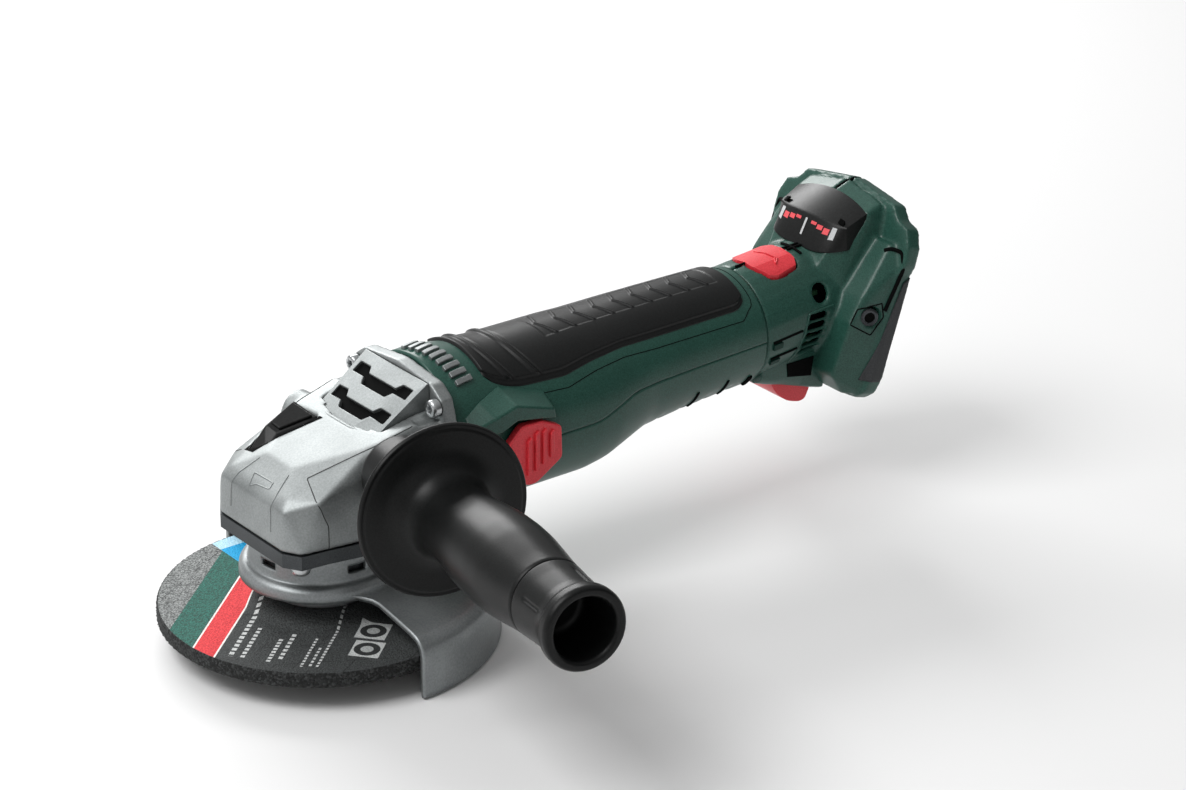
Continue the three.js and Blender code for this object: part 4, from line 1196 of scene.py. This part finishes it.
for k, path in enumerate([[[251.7, 0, 112.3], [256.5, 0, 113.8], [262, 0, 114.3]],
                          [[199.4, 0, 90.6], [204.6, 0, 91.0]], [[220.4, 0, 92.4], [231.6, 0, 92.9]]], 1):
    on_rear(bead(f"shell_joint_{k}", drawn_out(path), 0.55), joint_shadow)

# %% [markdown]
# ## Joint round the grip pad
# A fine groove follows the pad at a small distance, where the rubber was sealed against the mould.

# %% Pad joint
JOINT_REAR = 193.2
x = np.linspace(84, JOINT_REAR, 160)
edge = np.degrees(np.arcsin(np.interp(x, PAD_EDGE[:, 0], PAD_EDGE[:, 1] + 2.4) / section(x)[2]))
rounding = np.clip((JOINT_REAR - x) / 7, 0, 1)
edge = edge * (0.78 + 0.22 * np.sqrt(1 - (1 - rounding) ** 2))
across = np.linspace(-edge[-1], edge[-1], 40)
on_tool(bead("pad_joint_rear", on_barrel(np.full(40, JOINT_REAR), np.radians(across)), 0.17), joint_shadow)
for side, word in SIDES:
    on_tool(bead(f"pad_joint_{word}", on_barrel(x, np.radians(side * edge)), 0.17), joint_shadow)

# %% Grip notches
NOTCHES = [(163, 118, 142, 0.7), (178.6, 118, 142, 0.7), (191.6, 126, 141, 1.2)]  # x, two angles, radius
for side, word in SIDES:
    for k, (place, low, high, radius) in enumerate(NOTCHES, 1):
        path = on_barrel(np.full(24, place), np.radians(side * np.linspace(low, high, 24)), -0.1)
        on_tool(bead(f"grip_notch_{word}_{k}", path, radius), joint_shadow)

# %% [markdown]
# ## Floor and light
# A pale floor under the lowest point, a bright even surround, a large soft light above on the left, a
# smaller one that draws the edges from behind, and a low fill from the right.

# %% Floor
floor_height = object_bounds()[0][2] / MM - 0.4
matt_floor = bpy.data.materials.new("pale_matt_floor")
matt_floor.use_nodes = True
matt_floor.node_tree.nodes["Principled BSDF"].inputs["Base Color"].default_value = tone("#e6e6e6")
matt_floor.node_tree.nodes["Principled BSDF"].inputs["Roughness"].default_value = 0.9
FAR = 9000
corners = [[-FAR, -FAR, floor_height], [FAR, -FAR, floor_height], [FAR, FAR, floor_height],
           [-FAR, FAR, floor_height]]
floor = shape("studio_floor", corners, [[0, 1, 2, 3]])
floor.data.materials.append(matt_floor)
print("floor at", round(floor_height, 2), "mm")

# %% Lights


def soft_light(name, at, aim, size, power):
    """A glowing rectangle. It shines along its own -Z, so Z points back from the aim; lengths in metres."""
    data = bpy.data.lights.new(name, "AREA")
    data.shape, data.size, data.size_y, data.energy = "RECTANGLE", size[0], size[1], power
    stood(placed(name, data), frame_along(np.subtract(at, aim)), at)


soft_light("key_above_left", (-0.75, 0.1, 1.2), (0.08, 0, 0.05), (0.9, 0.7), 13.5)
soft_light("edge_from_behind", (0.35, 1.1, 0.75), (0.1, 0, 0.06), (0.9, 0.3), 13)
soft_light("front_low", (-0.5, -1.3, 0.5), (0.1, 0, 0.05), (0.6, 0.3), 0.5)


def surround():
    """The world's brightness follows the direction d of the ray: it climbs from dim to full as
    d . (-0.45, 0.45, 0.77) goes from -0.6 to 0.8, so one side of the tool keeps its shade."""
    world = bpy.data.worlds.new("bright_surround")
    world.use_nodes = True
    tree = world.node_tree
    tree.nodes.clear()
    way = put(tree, "TexCoord").outputs["Generated"]
    facing = put(tree, "VectorMath", {"operation": "DOT_PRODUCT", 1: (-0.45, 0.45, 0.77)}, {0: way})
    climb = ranged(tree, facing.outputs["Value"], -0.6, 0.8, 0.025, 0.62)
    sky = put(tree, "Background", {"Color": (1, 1, 1, 1)}, {"Strength": climb})
    put(tree, "OutputWorld", links={"Surface": sky.outputs[0]})
    bpy.context.scene.world = world


surround()
bpy.context.scene.view_settings.view_transform = "Standard"
